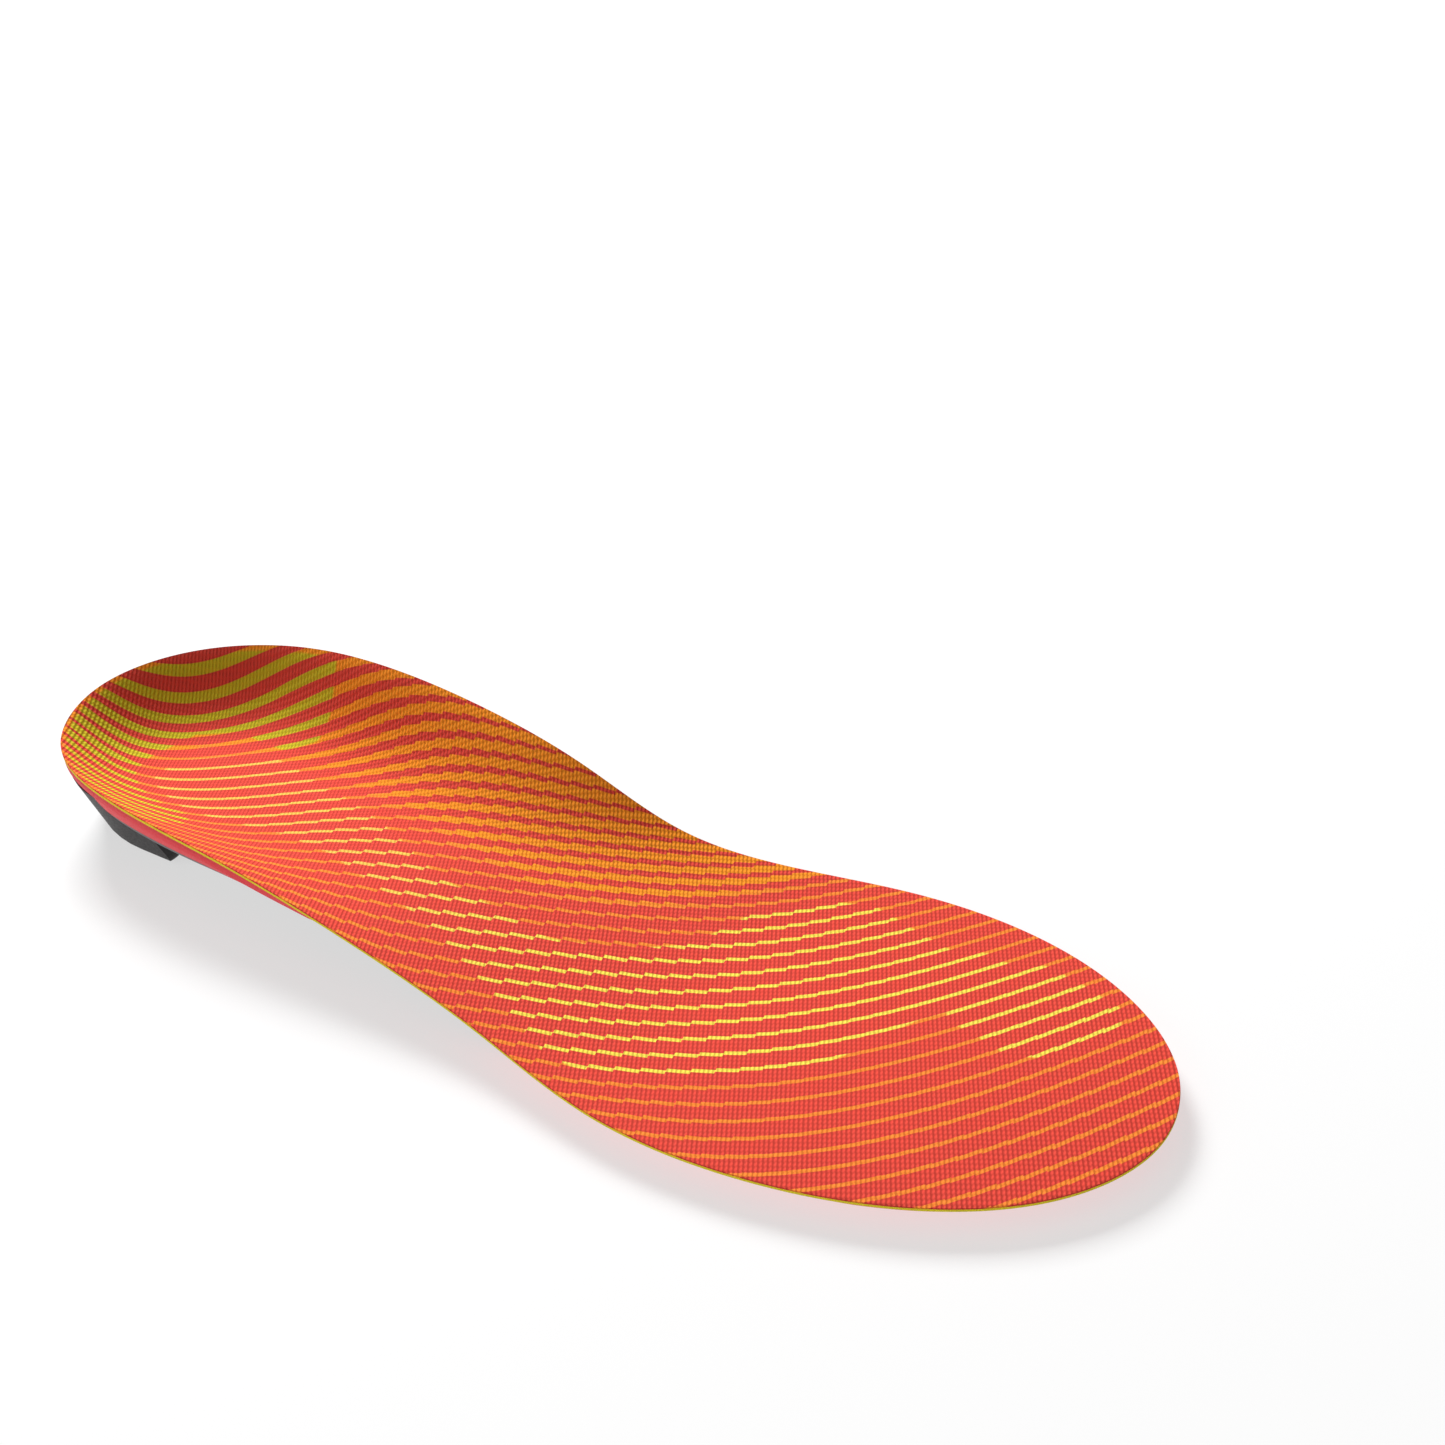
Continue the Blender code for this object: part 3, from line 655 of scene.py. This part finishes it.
class Finish:
    """A node material, built by naming what feeds what."""

    def __init__(self, name, roughness, specular=0.5, sheen=0.0):
        self.material = bpy.data.materials.new(name)
        self.material.use_nodes = True
        self.nodes = self.material.node_tree.nodes
        self.links = self.material.node_tree.links
        self.shader = self.nodes["Principled BSDF"]
        self.shader.inputs["Roughness"].default_value = roughness
        self.shader.inputs["Specular IOR Level"].default_value = specular
        self.shader.inputs["Sheen Weight"].default_value = sheen

    def put(self, socket, value):
        if isinstance(value, bpy.types.NodeSocket):
            self.links.new(value, socket)
        else:
            socket.default_value = value

    def math(self, operation, *values):
        node = self.nodes.new("ShaderNodeMath")
        node.operation = operation
        for socket, value in zip(node.inputs, values):
            self.put(socket, value)
        return node.outputs[0]

    def field(self, name):
        node = self.nodes.new("ShaderNodeAttribute")
        node.attribute_name = name
        return node.outputs["Fac"]

    def place(self, scale=(1, 1, 1), turn=0.0):
        """Position on the insole in millimetres, turned about z and then scaled."""
        node = self.nodes.new("ShaderNodeAttribute")
        node.attribute_name = "plan"
        mapping = self.nodes.new("ShaderNodeMapping")
        mapping.inputs["Rotation"].default_value = (0, 0, turn)
        mapping.inputs["Scale"].default_value = scale
        self.links.new(node.outputs["Vector"], mapping.inputs["Vector"])
        return mapping.outputs["Vector"]

    def split(self, vector):
        node = self.nodes.new("ShaderNodeSeparateXYZ")
        self.links.new(vector, node.inputs[0])
        return node.outputs

    def ramp(self, value, low, high, to_low=0.0, to_high=1.0):
        """Smooth change from one number to another as value crosses a range."""
        node = self.nodes.new("ShaderNodeMapRange")
        node.interpolation_type = "SMOOTHSTEP"
        for socket, number in zip(node.inputs, (value, low, high, to_low, to_high)):
            self.put(socket, number)
        return node.outputs[0]

    def mix(self, share, first, second, mode="MIX"):
        node = self.nodes.new("ShaderNodeMix")
        node.data_type = "RGBA"
        node.blend_type = mode
        self.put(node.inputs["Factor"], share)
        self.put(node.inputs[6], first)
        self.put(node.inputs[7], second)
        return node.outputs[2]

    def noise(self, vector, scale, detail=2.0, roughness=0.5):
        node = self.nodes.new("ShaderNodeTexNoise")
        node.inputs["Scale"].default_value = scale
        node.inputs["Detail"].default_value = detail
        node.inputs["Roughness"].default_value = roughness
        self.links.new(vector, node.inputs["Vector"])
        return node.outputs["Fac"]

    def cells(self, vector, scale):
        node = self.nodes.new("ShaderNodeTexVoronoi")
        node.inputs["Scale"].default_value = scale
        self.links.new(vector, node.inputs["Vector"])
        return node.outputs["Distance"]

    def bump(self, height, depth, after=None):
        """Raises the surface by height times depth, in metres."""
        node = self.nodes.new("ShaderNodeBump")
        node.inputs["Strength"].default_value = 1.0
        node.inputs["Distance"].default_value = depth
        self.put(node.inputs["Height"], height)
        if after is not None:
            self.links.new(after, node.inputs["Normal"])
        return node.outputs["Normal"]

    def shade(self, color=None, roughness=None, normal=None):
        for socket, value in (("Base Color", color), ("Roughness", roughness), ("Normal", normal)):
            if value is not None:
                self.put(self.shader.inputs[socket], value)
        return self.material


def knit_finish():
    """Striped jacquard knit: fine slanted ribs, with stripes that step sideways at each column."""
    f = Finish("knit", 0.9, specular=0.08)
    column_share = f.math("FRACT", f.field("column"))
    shift = f.math("MULTIPLY", f.math("SUBTRACT", column_share, 0.5), f.field("step"))
    number = f.math("ADD", f.field("stripe"), shift)
    off = f.math("ABSOLUTE", f.math("SUBTRACT", number, f.math("ROUND", number)))
    off_mm = f.math("DIVIDE", off, f.field("slope"))
    past = f.math("SUBTRACT", off_mm, f.math("MULTIPLY", f.field("width"), 0.5))
    stripe = f.ramp(past, -0.12, 0.12, 1.0, 0.0)
    shadow = f.ramp(past, 0.1, 0.5, 0.16, 0.0)

    rib = f.split(f.place(turn=KNIT_TURN))
    across = f.math("MULTIPLY", rib["X"], 2 * math.pi / KNIT_PITCH)
    along = f.math("MULTIPLY", rib["Y"], 2 * math.pi / KNIT_LOOP)
    ribs = f.math("SINE", across)
    loops = f.math("SINE", f.math("ADD", along, f.math("MULTIPLY", ribs, 0.8)))
    texture = f.math("MULTIPLY_ADD", loops, 0.35, f.math("MULTIPLY", ribs, 0.65))
    soft = f.noise(f.place(), 0.35, 3.0)

    x = f.split(f.place())["X"]
    pale = f.mix(f.ramp(x, 90, 170), srgb(*PALE), srgb(*YELLOW))
    thick = f.ramp(f.field("width"), THIN + 0.1, BOLD)
    plain = f.mix(thick, srgb(*ORANGE), srgb(*BOLD_ORANGE))
    color = f.mix(f.ramp(f.field("pale"), -0.4, 0.4), plain, pale)
    color = f.mix(f.ramp(f.field("olive"), -0.4, 0.4), color, srgb(*OLIVE))
    ground = f.mix(shadow, srgb(*CORAL), srgb(*CORAL_SHADE))
    color = f.mix(stripe, ground, color)
    seam = f.ramp(ribs, -1.0, -0.2, -0.10, 0.01)
    shade = f.math("MULTIPLY_ADD", texture, 0.035, f.math("MULTIPLY_ADD", soft, 0.10, 0.96))
    shade = f.math("ADD", shade, seam)
    tint = f.nodes.new("ShaderNodeCombineColor")
    for socket in tint.inputs[:3]:
        f.links.new(shade, socket)
    color = f.mix(1.0, color, tint.outputs[0], "MULTIPLY")
    normal = f.bump(texture, 0.00012)
    return f.shade(color, f.ramp(soft, 0.3, 0.7, 0.78, 0.9), normal)


def foam_finish(name, color, pore, grain=1.0, shade_grooves=False):
    """Moulded foam: a matt skin with fine pores, a slight unevenness, and painted shade darkening the
    grooves.
    """
    f = Finish(name, 0.6, specular=0.35)
    fine = f.noise(f.place(), 2.2 * grain, 4.0, 0.65)
    wide = f.noise(f.place(), 0.06, 2.0)
    cells = f.cells(f.place(), 1.6 * grain)
    mixed = f.mix(f.ramp(fine, 0.35, 0.75, 0.0, 0.35), srgb(*color), srgb(*pore))
    mixed = f.mix(f.ramp(wide, 0.3, 0.8, 0.0, 0.25), mixed, srgb(*pore))
    if shade_grooves:
        # painted shade: darkens the foam within about a millimetre of each moulded groove
        mixed = f.mix(f.ramp(f.field("groove"), 0.5, 1.15, 0.8, 0.0), mixed, srgb(*GROOVE_PAINTED_SHADE))
    normal = f.bump(fine, 0.00006, f.bump(cells, 0.00003))
    return f.shade(mixed, f.ramp(fine, 0.3, 0.7, 0.5, 0.68), normal)


def cut_edge_finish():
    """The cover's cut side: the pale yellow backing of the knit, with its loops showing."""
    f = Finish("knit_cut_edge", 0.85, specular=0.1)
    threads = f.noise(f.place(scale=(1, 1, 4)), 2.5, 3.0, 0.7)
    color = f.mix(f.ramp(threads, 0.35, 0.7), srgb(*EDGE_DARK), srgb(*EDGE_LIGHT))
    return f.shade(color, None, f.bump(threads, 0.0001))


def shell_finish():
    """Grey moulded nylon: engraved outlines round the arch, groups of flex lines, fine hatching."""
    f = Finish("grey_nylon_skin", 0.42, specular=0.4)
    grain = f.noise(f.place(), 3.0, 3.0, 0.6)
    wide = f.noise(f.place(), 0.03, 2.0)
    nearest = f.math("ABSOLUTE", f.field("stadium"))
    for name in ("skirt", "nose"):
        nearest = f.math("MINIMUM", nearest, f.math("ABSOLUTE", f.field(name)))
    mark = f.ramp(nearest, 0.12, 0.32, 1.0, 0.0)
    at = f.split(f.place())
    for (low, high), (near, far) in FLEX_LINES:
        pitch = (high - low) / 5
        wave = f.math("COSINE", f.math("MULTIPLY", f.math("SUBTRACT", at["X"], low + pitch / 2),
                                       2 * math.pi / pitch))
        group = f.math("MULTIPLY", f.ramp(at["X"], low - 0.05, low + 0.05),
                       f.ramp(at["X"], high - 0.05, high + 0.05, 1.0, 0.0))
        across = f.math("MULTIPLY", f.ramp(at["Y"], near - 0.1, near + 0.1),
                        f.ramp(at["Y"], far - 0.1, far + 0.1, 1.0, 0.0))
        group = f.math("MULTIPLY", group, across)
        mark = f.math("MAXIMUM", mark, f.math("MULTIPLY", f.ramp(wave, 0.6, 0.95), group))
    hatch = f.ramp(f.math("SINE", f.math("MULTIPLY", at["Y"], 2 * math.pi / HATCH_PITCH)), 0.7, 1.0)
    inner = f.ramp(f.field("stadium"), -0.2, 0.2)
    between = f.math("MULTIPLY", hatch, f.math("MULTIPLY", inner, f.ramp(at["X"], 46, 52)))
    mark = f.math("MAXIMUM", mark, f.math("MULTIPLY", between, 0.25))
    ground = f.mix(f.ramp(wide, 0.3, 0.7), srgb(*SHELL_GREY), srgb(*SHELL_PALE))
    ground = f.mix(f.math("MULTIPLY", inner, 0.5), ground, srgb(*SHELL_PALE))
    color = f.mix(f.math("MULTIPLY", mark, 0.8), ground, srgb(*SHELL_LINE))
    height = f.math("MULTIPLY_ADD", inner, 0.5, f.math("MULTIPLY", mark, -1.0))
    normal = f.bump(height, 0.0002, f.bump(grain, 0.00003))
    return f.shade(color, f.ramp(grain, 0.3, 0.7, 0.36, 0.5), normal)


def inlay_finish():
    """The inlay's darker, faintly see-through nylon over a fine weave."""
    f = Finish("tinted_nylon_skin", 0.3, specular=0.5)
    at = f.split(f.place(turn=HATCH_TURN))
    weave = f.math("MULTIPLY", f.math("SINE", f.math("MULTIPLY", at["X"], 4.5)),
                   f.math("SINE", f.math("MULTIPLY", at["Y"], 4.5)))
    grain = f.noise(f.place(), 0.12, 3.0)
    color = f.mix(f.ramp(grain, 0.3, 0.7), srgb(76, 73, 72), srgb(88, 84, 82))
    color = f.mix(f.ramp(weave, -0.2, 0.8, 0.0, 0.25), color, srgb(58, 54, 53))
    return f.shade(color, f.ramp(grain, 0.3, 0.7, 0.26, 0.38), f.bump(weave, 0.00002))


# ---------------------------------------------------------------- pieces

def edge_cut(x):
    """How far the foam's side is cut back under the cover; not at the heel, where it shows."""
    return smoothstep(*EDGE_CUT_FROM, x)


def make_cover(samples):
    rows = rows_over(samples, COVER_RINGS, foot_bed, EDGE_ROUND)
    rim = ring(samples, 1.0)
    top = foot_bed(rim[:, 0], rim[:, 1])
    low = below_top(COVER)(rim[:, 0], rim[:, 1])
    rows.append(np.c_[ring(samples, 1.0, EDGE_ROUND * 0.3), top - 0.05])
    rows.append(np.c_[rim, top - EDGE_ROUND * 0.8])
    side_from = len(rows) - 1
    rows.append(np.c_[rim, low + 0.05])
    rows += rows_over(samples, UNDER_RINGS[::-1], below_top(COVER), 0.05)
    bands = [0] * side_from + [1, 1, 0]
    return solid("top_cover", rows, bands)


def foam_layer(name, samples, top, bottom, cuts, shares, under):
    """A foam layer whose side slopes back under the cover by cuts mm, at its top and bottom."""
    upper, lower = (lambda x, c=c: 0.15 + c * edge_cut(x) for c in cuts)
    rows = rows_over(samples, shares, top, upper)
    rows += rows_over(samples, under[::-1], bottom, lower)
    return solid(name, rows)


def channel(name, line, closed):
    """A cutter for a moulded groove with rounded lips, along a line on the sole."""
    ahead = np.roll(line, -1, axis=0) - np.roll(line, 1, axis=0)
    if not closed:
        ahead[0], ahead[-1] = line[1] - line[0], line[-1] - line[-2]
    ahead /= np.linalg.norm(ahead, axis=1)[:, None]
    aside = np.c_[-ahead[:, 1], ahead[:, 0]]
    size = np.ones(len(line))
    if not closed:
        travel = np.arange(len(line))
        size = np.sqrt(np.clip(np.minimum(travel, travel[::-1]) / 3 + 0.02, 0, 1))
    across = [u for u, _ in GROOVE_PROFILE]
    up = [v for _, v in GROOVE_PROFILE]
    loop = [(u, v) for u, v in zip(across, up)] + [(-u, v) for u, v in zip(across[::-1], up[::-1])]
    bm = bmesh.new()
    rows = []
    for at, side, s in zip(line, aside, size):
        points = [(*(at + side * u * s), v * (s if v > 0 else 1)) for u, v in loop]
        rows.append([bm.verts.new(p) for p in to_world(points)])
    pairs = list(zip(rows, rows[1:] + rows[:1])) if closed else list(zip(rows, rows[1:]))
    for first, second in pairs:
        for k in range(len(loop)):
            n = (k + 1) % len(loop)
            bm.faces.new((first[k], first[n], second[n], second[k]))
    if not closed:
        bm.faces.new(rows[0])
        bm.faces.new(rows[-1])
    bmesh.ops.recalc_face_normals(bm, faces=bm.faces)
    mesh = bpy.data.meshes.new(name)
    bm.to_mesh(mesh)
    bm.free()
    obj = bpy.data.objects.new(name, mesh)
    bpy.context.scene.collection.objects.link(obj)
    return obj


def pocket(name, outline, floor, depth, grow):
    """A cutter for a recess: from below the sole up to a surface."""
    samples = outline.samples(60, 32)
    rows = rows_over(samples, SHELL_FINE, floor, -grow)
    rows += rows_over(samples, SHELL_FINE[::-1], depth, -grow)
    return solid(name, rows)


def make_base(samples):
    base = foam_layer(
        "base_foam", samples, base_top, underside, (2.0, 3.2), FOAM_RINGS, BASE_UNDER_RINGS,
    )
    tools = [
        pocket("shell_space", SHELL_SHAPE, shell_inside(0.08), lambda x, y: underside(x, y) - 2, 0.15),
        pocket("pod_space", POD_SHAPE, lambda x, y: 0 * x + BALL_POD + 0.1, lambda x, y: 0 * x - 1, 0.5),
        channel("outer_toe", closed_spline(OUTER_TOE_POD, 150), True),
        channel("inner_toe", closed_spline(INNER_TOE_POD, 130), True),
        channel("ball_ring", closed_spline(BALL_RING, 110), True),
        channel("ball_line", open_line(BALL_LINE, 120), False),
    ]
    cut(base, *tools)
    return base


def make_shell():
    samples = SHELL_SHAPE.samples(90, 50)
    rows = rows_over(samples, SHELL_FINE, shell_inside(0.0))
    rim = rows[-1]
    lower = rows_over(samples, (1.0,), underside)[0]
    middle = (rim + lower) / 2
    rows[-1] = np.c_[ring(samples, 1.0, 0.2), rim[:, 2]]
    rows.append(np.c_[ring(samples, 1.0), middle[:, 2] + 0.2])
    rows.append(np.c_[ring(samples, 1.0), middle[:, 2] - 0.2])
    rows += rows_over(samples, SHELL_FINE[::-1], underside, 0.25)
    shell = solid("stabiliser_shell_skin", rows)
    cut(shell, pocket("inlay_space", INLAY_SHAPE, above_bottom(INLAY + 0.1),
                      lambda x, y: underside(x, y) - 2, 0.12))
    return shell


def make_inlay():
    samples = INLAY_SHAPE.samples(40, 24)
    rows = rows_over(samples, (0, 0.5, 0.9, 1.0), above_bottom(INLAY), 0.05)
    rows += rows_over(samples, (1.0,), above_bottom(0.12))
    rows += rows_over(samples, (1.0, 0.9, 0.7, 0.5, 0.3, 0.1, 0), underside, 0.12)
    return solid("arch_inlay_skin", rows)


def make_heel_pad():
    samples = PAD_SHAPE.samples(10, 24)
    top = lambda x, y: base_top(x, y) - 0.02
    low = lambda x, y: base_top(x, y) - HEEL_PAD
    rows = rows_over(samples, (0, 0.5, 0.9, 1.0), top, 0.4)
    rows += [np.c_[ring(samples, 1.0), (rows[-1][:, 2] - s)] for s in (0.5, HEEL_PAD - 0.5)]
    rows += rows_over(samples, (1.0, 0.9, 0.5, 0), low, 0.4)
    return solid("heel_pad_gel", rows)


def make_ball_pod():
    samples = POD_SHAPE.samples(10, 30)
    rows = rows_over(samples, (0, 0.5, 1.0), lambda x, y: 0 * x + BALL_POD, 0.1)
    for turn in np.radians((0, 30, 60, 90)):
        inset = POD_ROUND * (1 - math.cos(turn))
        height = POD_ROUND * (1 - math.sin(turn))
        rows += rows_over(samples, (1.0,), lambda x, y: 0 * x + height, inset)
    rows += rows_over(samples, (0.85, 0.5, 0), lambda x, y: 0 * x, POD_ROUND)
    return solid("ball_pod_foam", rows)


def capped(name, rows):
    """A closed mesh through rings of points with a flat cap at either end."""
    bm = bmesh.new()
    made = [[bm.verts.new(p) for p in to_world(row)] for row in rows]
    for lower, upper in zip(made, made[1:]):
        for k in range(len(lower)):
            n = (k + 1) % len(lower)
            bm.faces.new((lower[k], lower[n], upper[n], upper[k]))
    bm.faces.new(made[0])
    bm.faces.new(made[-1])
    bmesh.ops.recalc_face_normals(bm, faces=bm.faces)
    mesh = bpy.data.meshes.new(name)
    bm.to_mesh(mesh)
    bm.free()
    obj = bpy.data.objects.new(name, mesh)
    bpy.context.scene.collection.objects.link(obj)
    return obj


def evenly(points, spacing, smoothing):
    """A closed line through points, evenly spaced, with its corners rounded off."""
    line = np.array(points, float)
    loop = np.r_[line, line[:1]]
    travel = np.r_[0, np.cumsum(np.linalg.norm(np.diff(loop, axis=0), axis=1))]
    at = np.linspace(0, travel[-1], int(travel[-1] / spacing), endpoint=False)
    line = np.c_[np.interp(at, travel, loop[:, 0]), np.interp(at, travel, loop[:, 1])]
    for _ in range(smoothing):
        line = (np.roll(line, 1, axis=0) + 2 * line + np.roll(line, -1, axis=0)) / 4
    return line


def outward(line):
    ahead = np.roll(line, -1, axis=0) - np.roll(line, 1, axis=0)
    ahead /= np.linalg.norm(ahead, axis=1)[:, None]
    aside = np.c_[ahead[:, 1], -ahead[:, 0]]
    turned = np.sum(line[:, 0] * np.roll(line[:, 1], -1) - np.roll(line[:, 0], -1) * line[:, 1])
    return aside * np.sign(turned)


def make_horseshoe():
    """The heel pod: a thick C with a rounded foot, a drafted wall and softened ends."""
    lip = lip_heights()
    lip_line = np.array([heel_ring(z)[k] for k, z in enumerate(lip)])
    rows = []
    for turn in np.radians((0, 18, 36, 54, 72, 90)):
        inset = HORSESHOE_ROUND * (1 - math.sin(turn))
        height = HORSESHOE_ROUND * (1 - math.cos(turn))
        rows.append(np.c_[heel_ring(height, inset), np.full(len(lip), height)])
    for share in (0.35, 0.7, 0.97):
        heights = HORSESHOE_ROUND + (lip - HORSESHOE_ROUND) * share
        rows.append(np.c_[np.array([heel_ring(z)[k] for k, z in enumerate(heights)]), heights])
    rows.append(np.c_[lip_line, lip])
    peak = np.array([*HEEL_CENTRE, 34.0])
    rows.append(peak + 0.02 * (rows[-1] - peak))
    pod = capped("heel_horseshoe_pod", rows)

    line = evenly(horseshoe_plan(), 0.8, 14)
    out = outward(line)
    rows = []
    for turn in np.radians((0, 15, 30, 45, 60, 75, 90)):
        inset = HORSESHOE_ENDS * (1 - math.sin(turn))
        height = HORSESHOE_ENDS * (1 - math.cos(turn)) - 0.001
        rows.append(np.c_[line - out * inset, np.full(len(line), height)])
    rows.append(np.c_[line, np.full(len(line), 45.0)])
    plan = capped("horseshoe_plan", rows)
    modifier = pod.modifiers.new("ends", "BOOLEAN")
    modifier.operation = "INTERSECT"
    modifier.object = plan
    samples = SHELL_SHAPE.samples(60, 40)
    above = rows_over(samples, (0, 1.12), lambda x, y: 0 * x + 60.0)
    above += rows_over(samples, (1.12, *SHELL_FINE[::-1]), above_bottom(-0.06))
    cut(pod, solid("heel_space", above))
    bpy.data.objects.remove(plan)
    return pod


def dress(obj, material, nodes, body=None):
    """Finish, CAD nodes it stands for, and what it moves with: one body, or both across the joint."""
    for made in material if isinstance(material, list) else [material]:
        obj.data.materials.append(made)
    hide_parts(*nodes)
    if body:
        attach(obj, body)
    else:
        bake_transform(obj)


def softbox(name, at, size, power, color=(1, 1, 1)):
    light = bpy.data.lights.new(name, "AREA")
    light.shape = "RECTANGLE"
    light.size, light.size_y = size
    light.energy = power
    light.color = color
    obj = bpy.data.objects.new(name, light)
    obj.location = at
    obj.rotation_euler = (-Vector(at)).to_track_quat("-Z", "Y").to_euler()
    bpy.context.scene.collection.objects.link(obj)
    return obj


def make_stage():
    f = Finish("pale_floor", 0.9, specular=0.1)
    f.shade((*FLOOR_COLOR, 1.0))
    f.shader.inputs["Emission Color"].default_value = (1, 1, 1, 1)
    f.shader.inputs["Emission Strength"].default_value = FLOOR_GLOW
    bm = bmesh.new()
    bm.faces.new([bm.verts.new((x * 6, y * 6, -0.0004)) for x, y in ((-1, -1), (1, -1), (1, 1), (-1, 1))])
    mesh = bpy.data.meshes.new("floor")
    bm.to_mesh(mesh)
    bm.free()
    floor = bpy.data.objects.new("floor", mesh)
    floor.data.materials.append(f.material)
    bpy.context.scene.collection.objects.link(floor)
    floor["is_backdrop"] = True

    world = bpy.data.worlds.new("studio")
    bpy.context.scene.world = world
    world.use_nodes = True
    background = world.node_tree.nodes["Background"]
    background.inputs["Color"].default_value = (1, 1, 1, 1)
    background.inputs["Strength"].default_value = SKY
    softbox("key", (-1.25, 0.95, 1.3), (0.8, 0.8), KEY)
    softbox("top", (0.1, 0.1, 1.9), (1.4, 1.4), TOP)
    softbox("fill", (-0.7, -1.4, 0.9), (1.4, 1.0), FILL)


def make_camera():
    camera = bpy.data.cameras.new("camera")
    camera.lens = LENS
    camera.sensor_width = 36.0
    camera.clip_start, camera.clip_end = 0.01, 50.0
    obj = bpy.data.objects.new("camera", camera)
    obj.location = EYE
    look, up = Vector(LOOK).normalized(), Vector(UP).normalized()
    obj.rotation_euler = Matrix((look.cross(up), up, -look)).transposed().to_euler()
    bpy.context.scene.collection.objects.link(obj)
    bpy.context.scene.camera = obj


def plain(corners):
    return [[float(v) for v in corner] for corner in corners]


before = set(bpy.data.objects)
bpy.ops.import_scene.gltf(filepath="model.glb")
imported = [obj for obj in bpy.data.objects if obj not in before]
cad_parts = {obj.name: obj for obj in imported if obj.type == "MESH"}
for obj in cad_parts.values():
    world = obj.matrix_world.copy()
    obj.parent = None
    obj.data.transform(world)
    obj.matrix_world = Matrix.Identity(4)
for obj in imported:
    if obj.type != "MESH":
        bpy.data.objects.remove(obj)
cad_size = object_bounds()

samples = INSOLE.samples(*AROUND)
cover = make_cover(samples)
cushion = foam_layer(
    "cushion_foam", samples, below_top(COVER + GAP), cushion_bottom, (0.2, 2.0), FOAM_RINGS, UNDER_RINGS,
)
base = make_base(samples)
heel_pad = make_heel_pad()
ball_pod = make_ball_pod()
shell = make_shell()
inlay = make_inlay()
horseshoe = make_horseshoe()

paint(
    cover, stripe=stripe_number, slope=stripe_slope, width=stripe_width, column=column, step=step_size,
    pale=lambda at: np.maximum(inside_polygon(at, BALL_YELLOW), inside_polygon(at, HEEL_PALE)),
    olive=lambda at: np.minimum(inside_polygon(at, HEEL_BARS), rim_distance(at) - 1.2),
)
for piece in (cushion, heel_pad, inlay, horseshoe):
    paint(piece)
for piece in (base, ball_pod):
    paint(piece, groove=groove_distance)
paint(
    shell, stadium=lambda at: inside_polygon(at, STADIUM), skirt=lambda at: inside_polygon(at, SKIRT),
    nose=lambda at: inside_polygon(at, NOSE),
)

base_finish = foam_finish("base_foam_skin", BASE_RED, BASE_PORE, shade_grooves=True)
dress(cover, [knit_finish(), cut_edge_finish()], ["top_cover_rear", "top_cover_toe"])
dress(cushion, foam_finish("cushion_foam_skin", CUSHION_RED, CUSHION_PORE, 1.6),
      ["cushion_foam_rear", "cushion_foam_toe"])
dress(base, base_finish, ["base_foam_rear", "base_foam_toe"])
dress(ball_pod, base_finish, ["ball_pod"], "rear")
dress(heel_pad, foam_finish("heel_gel_skin", GEL, GEL_PORE, 0.6), ["heel_pad"], "rear")
dress(shell, shell_finish(), ["stabiliser_shell"], "rear")
dress(inlay, inlay_finish(), ["arch_inlay"], "rear")
dress(horseshoe, foam_finish("black_foam_skin", CHARCOAL, CHARCOAL_PORE, 0.8),
      ["heel_horseshoe"], "rear")

make_stage()
make_camera()
bpy.context.scene.view_settings.view_transform = "Standard"

{"cad": plain(cad_size), "visual": plain(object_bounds())}
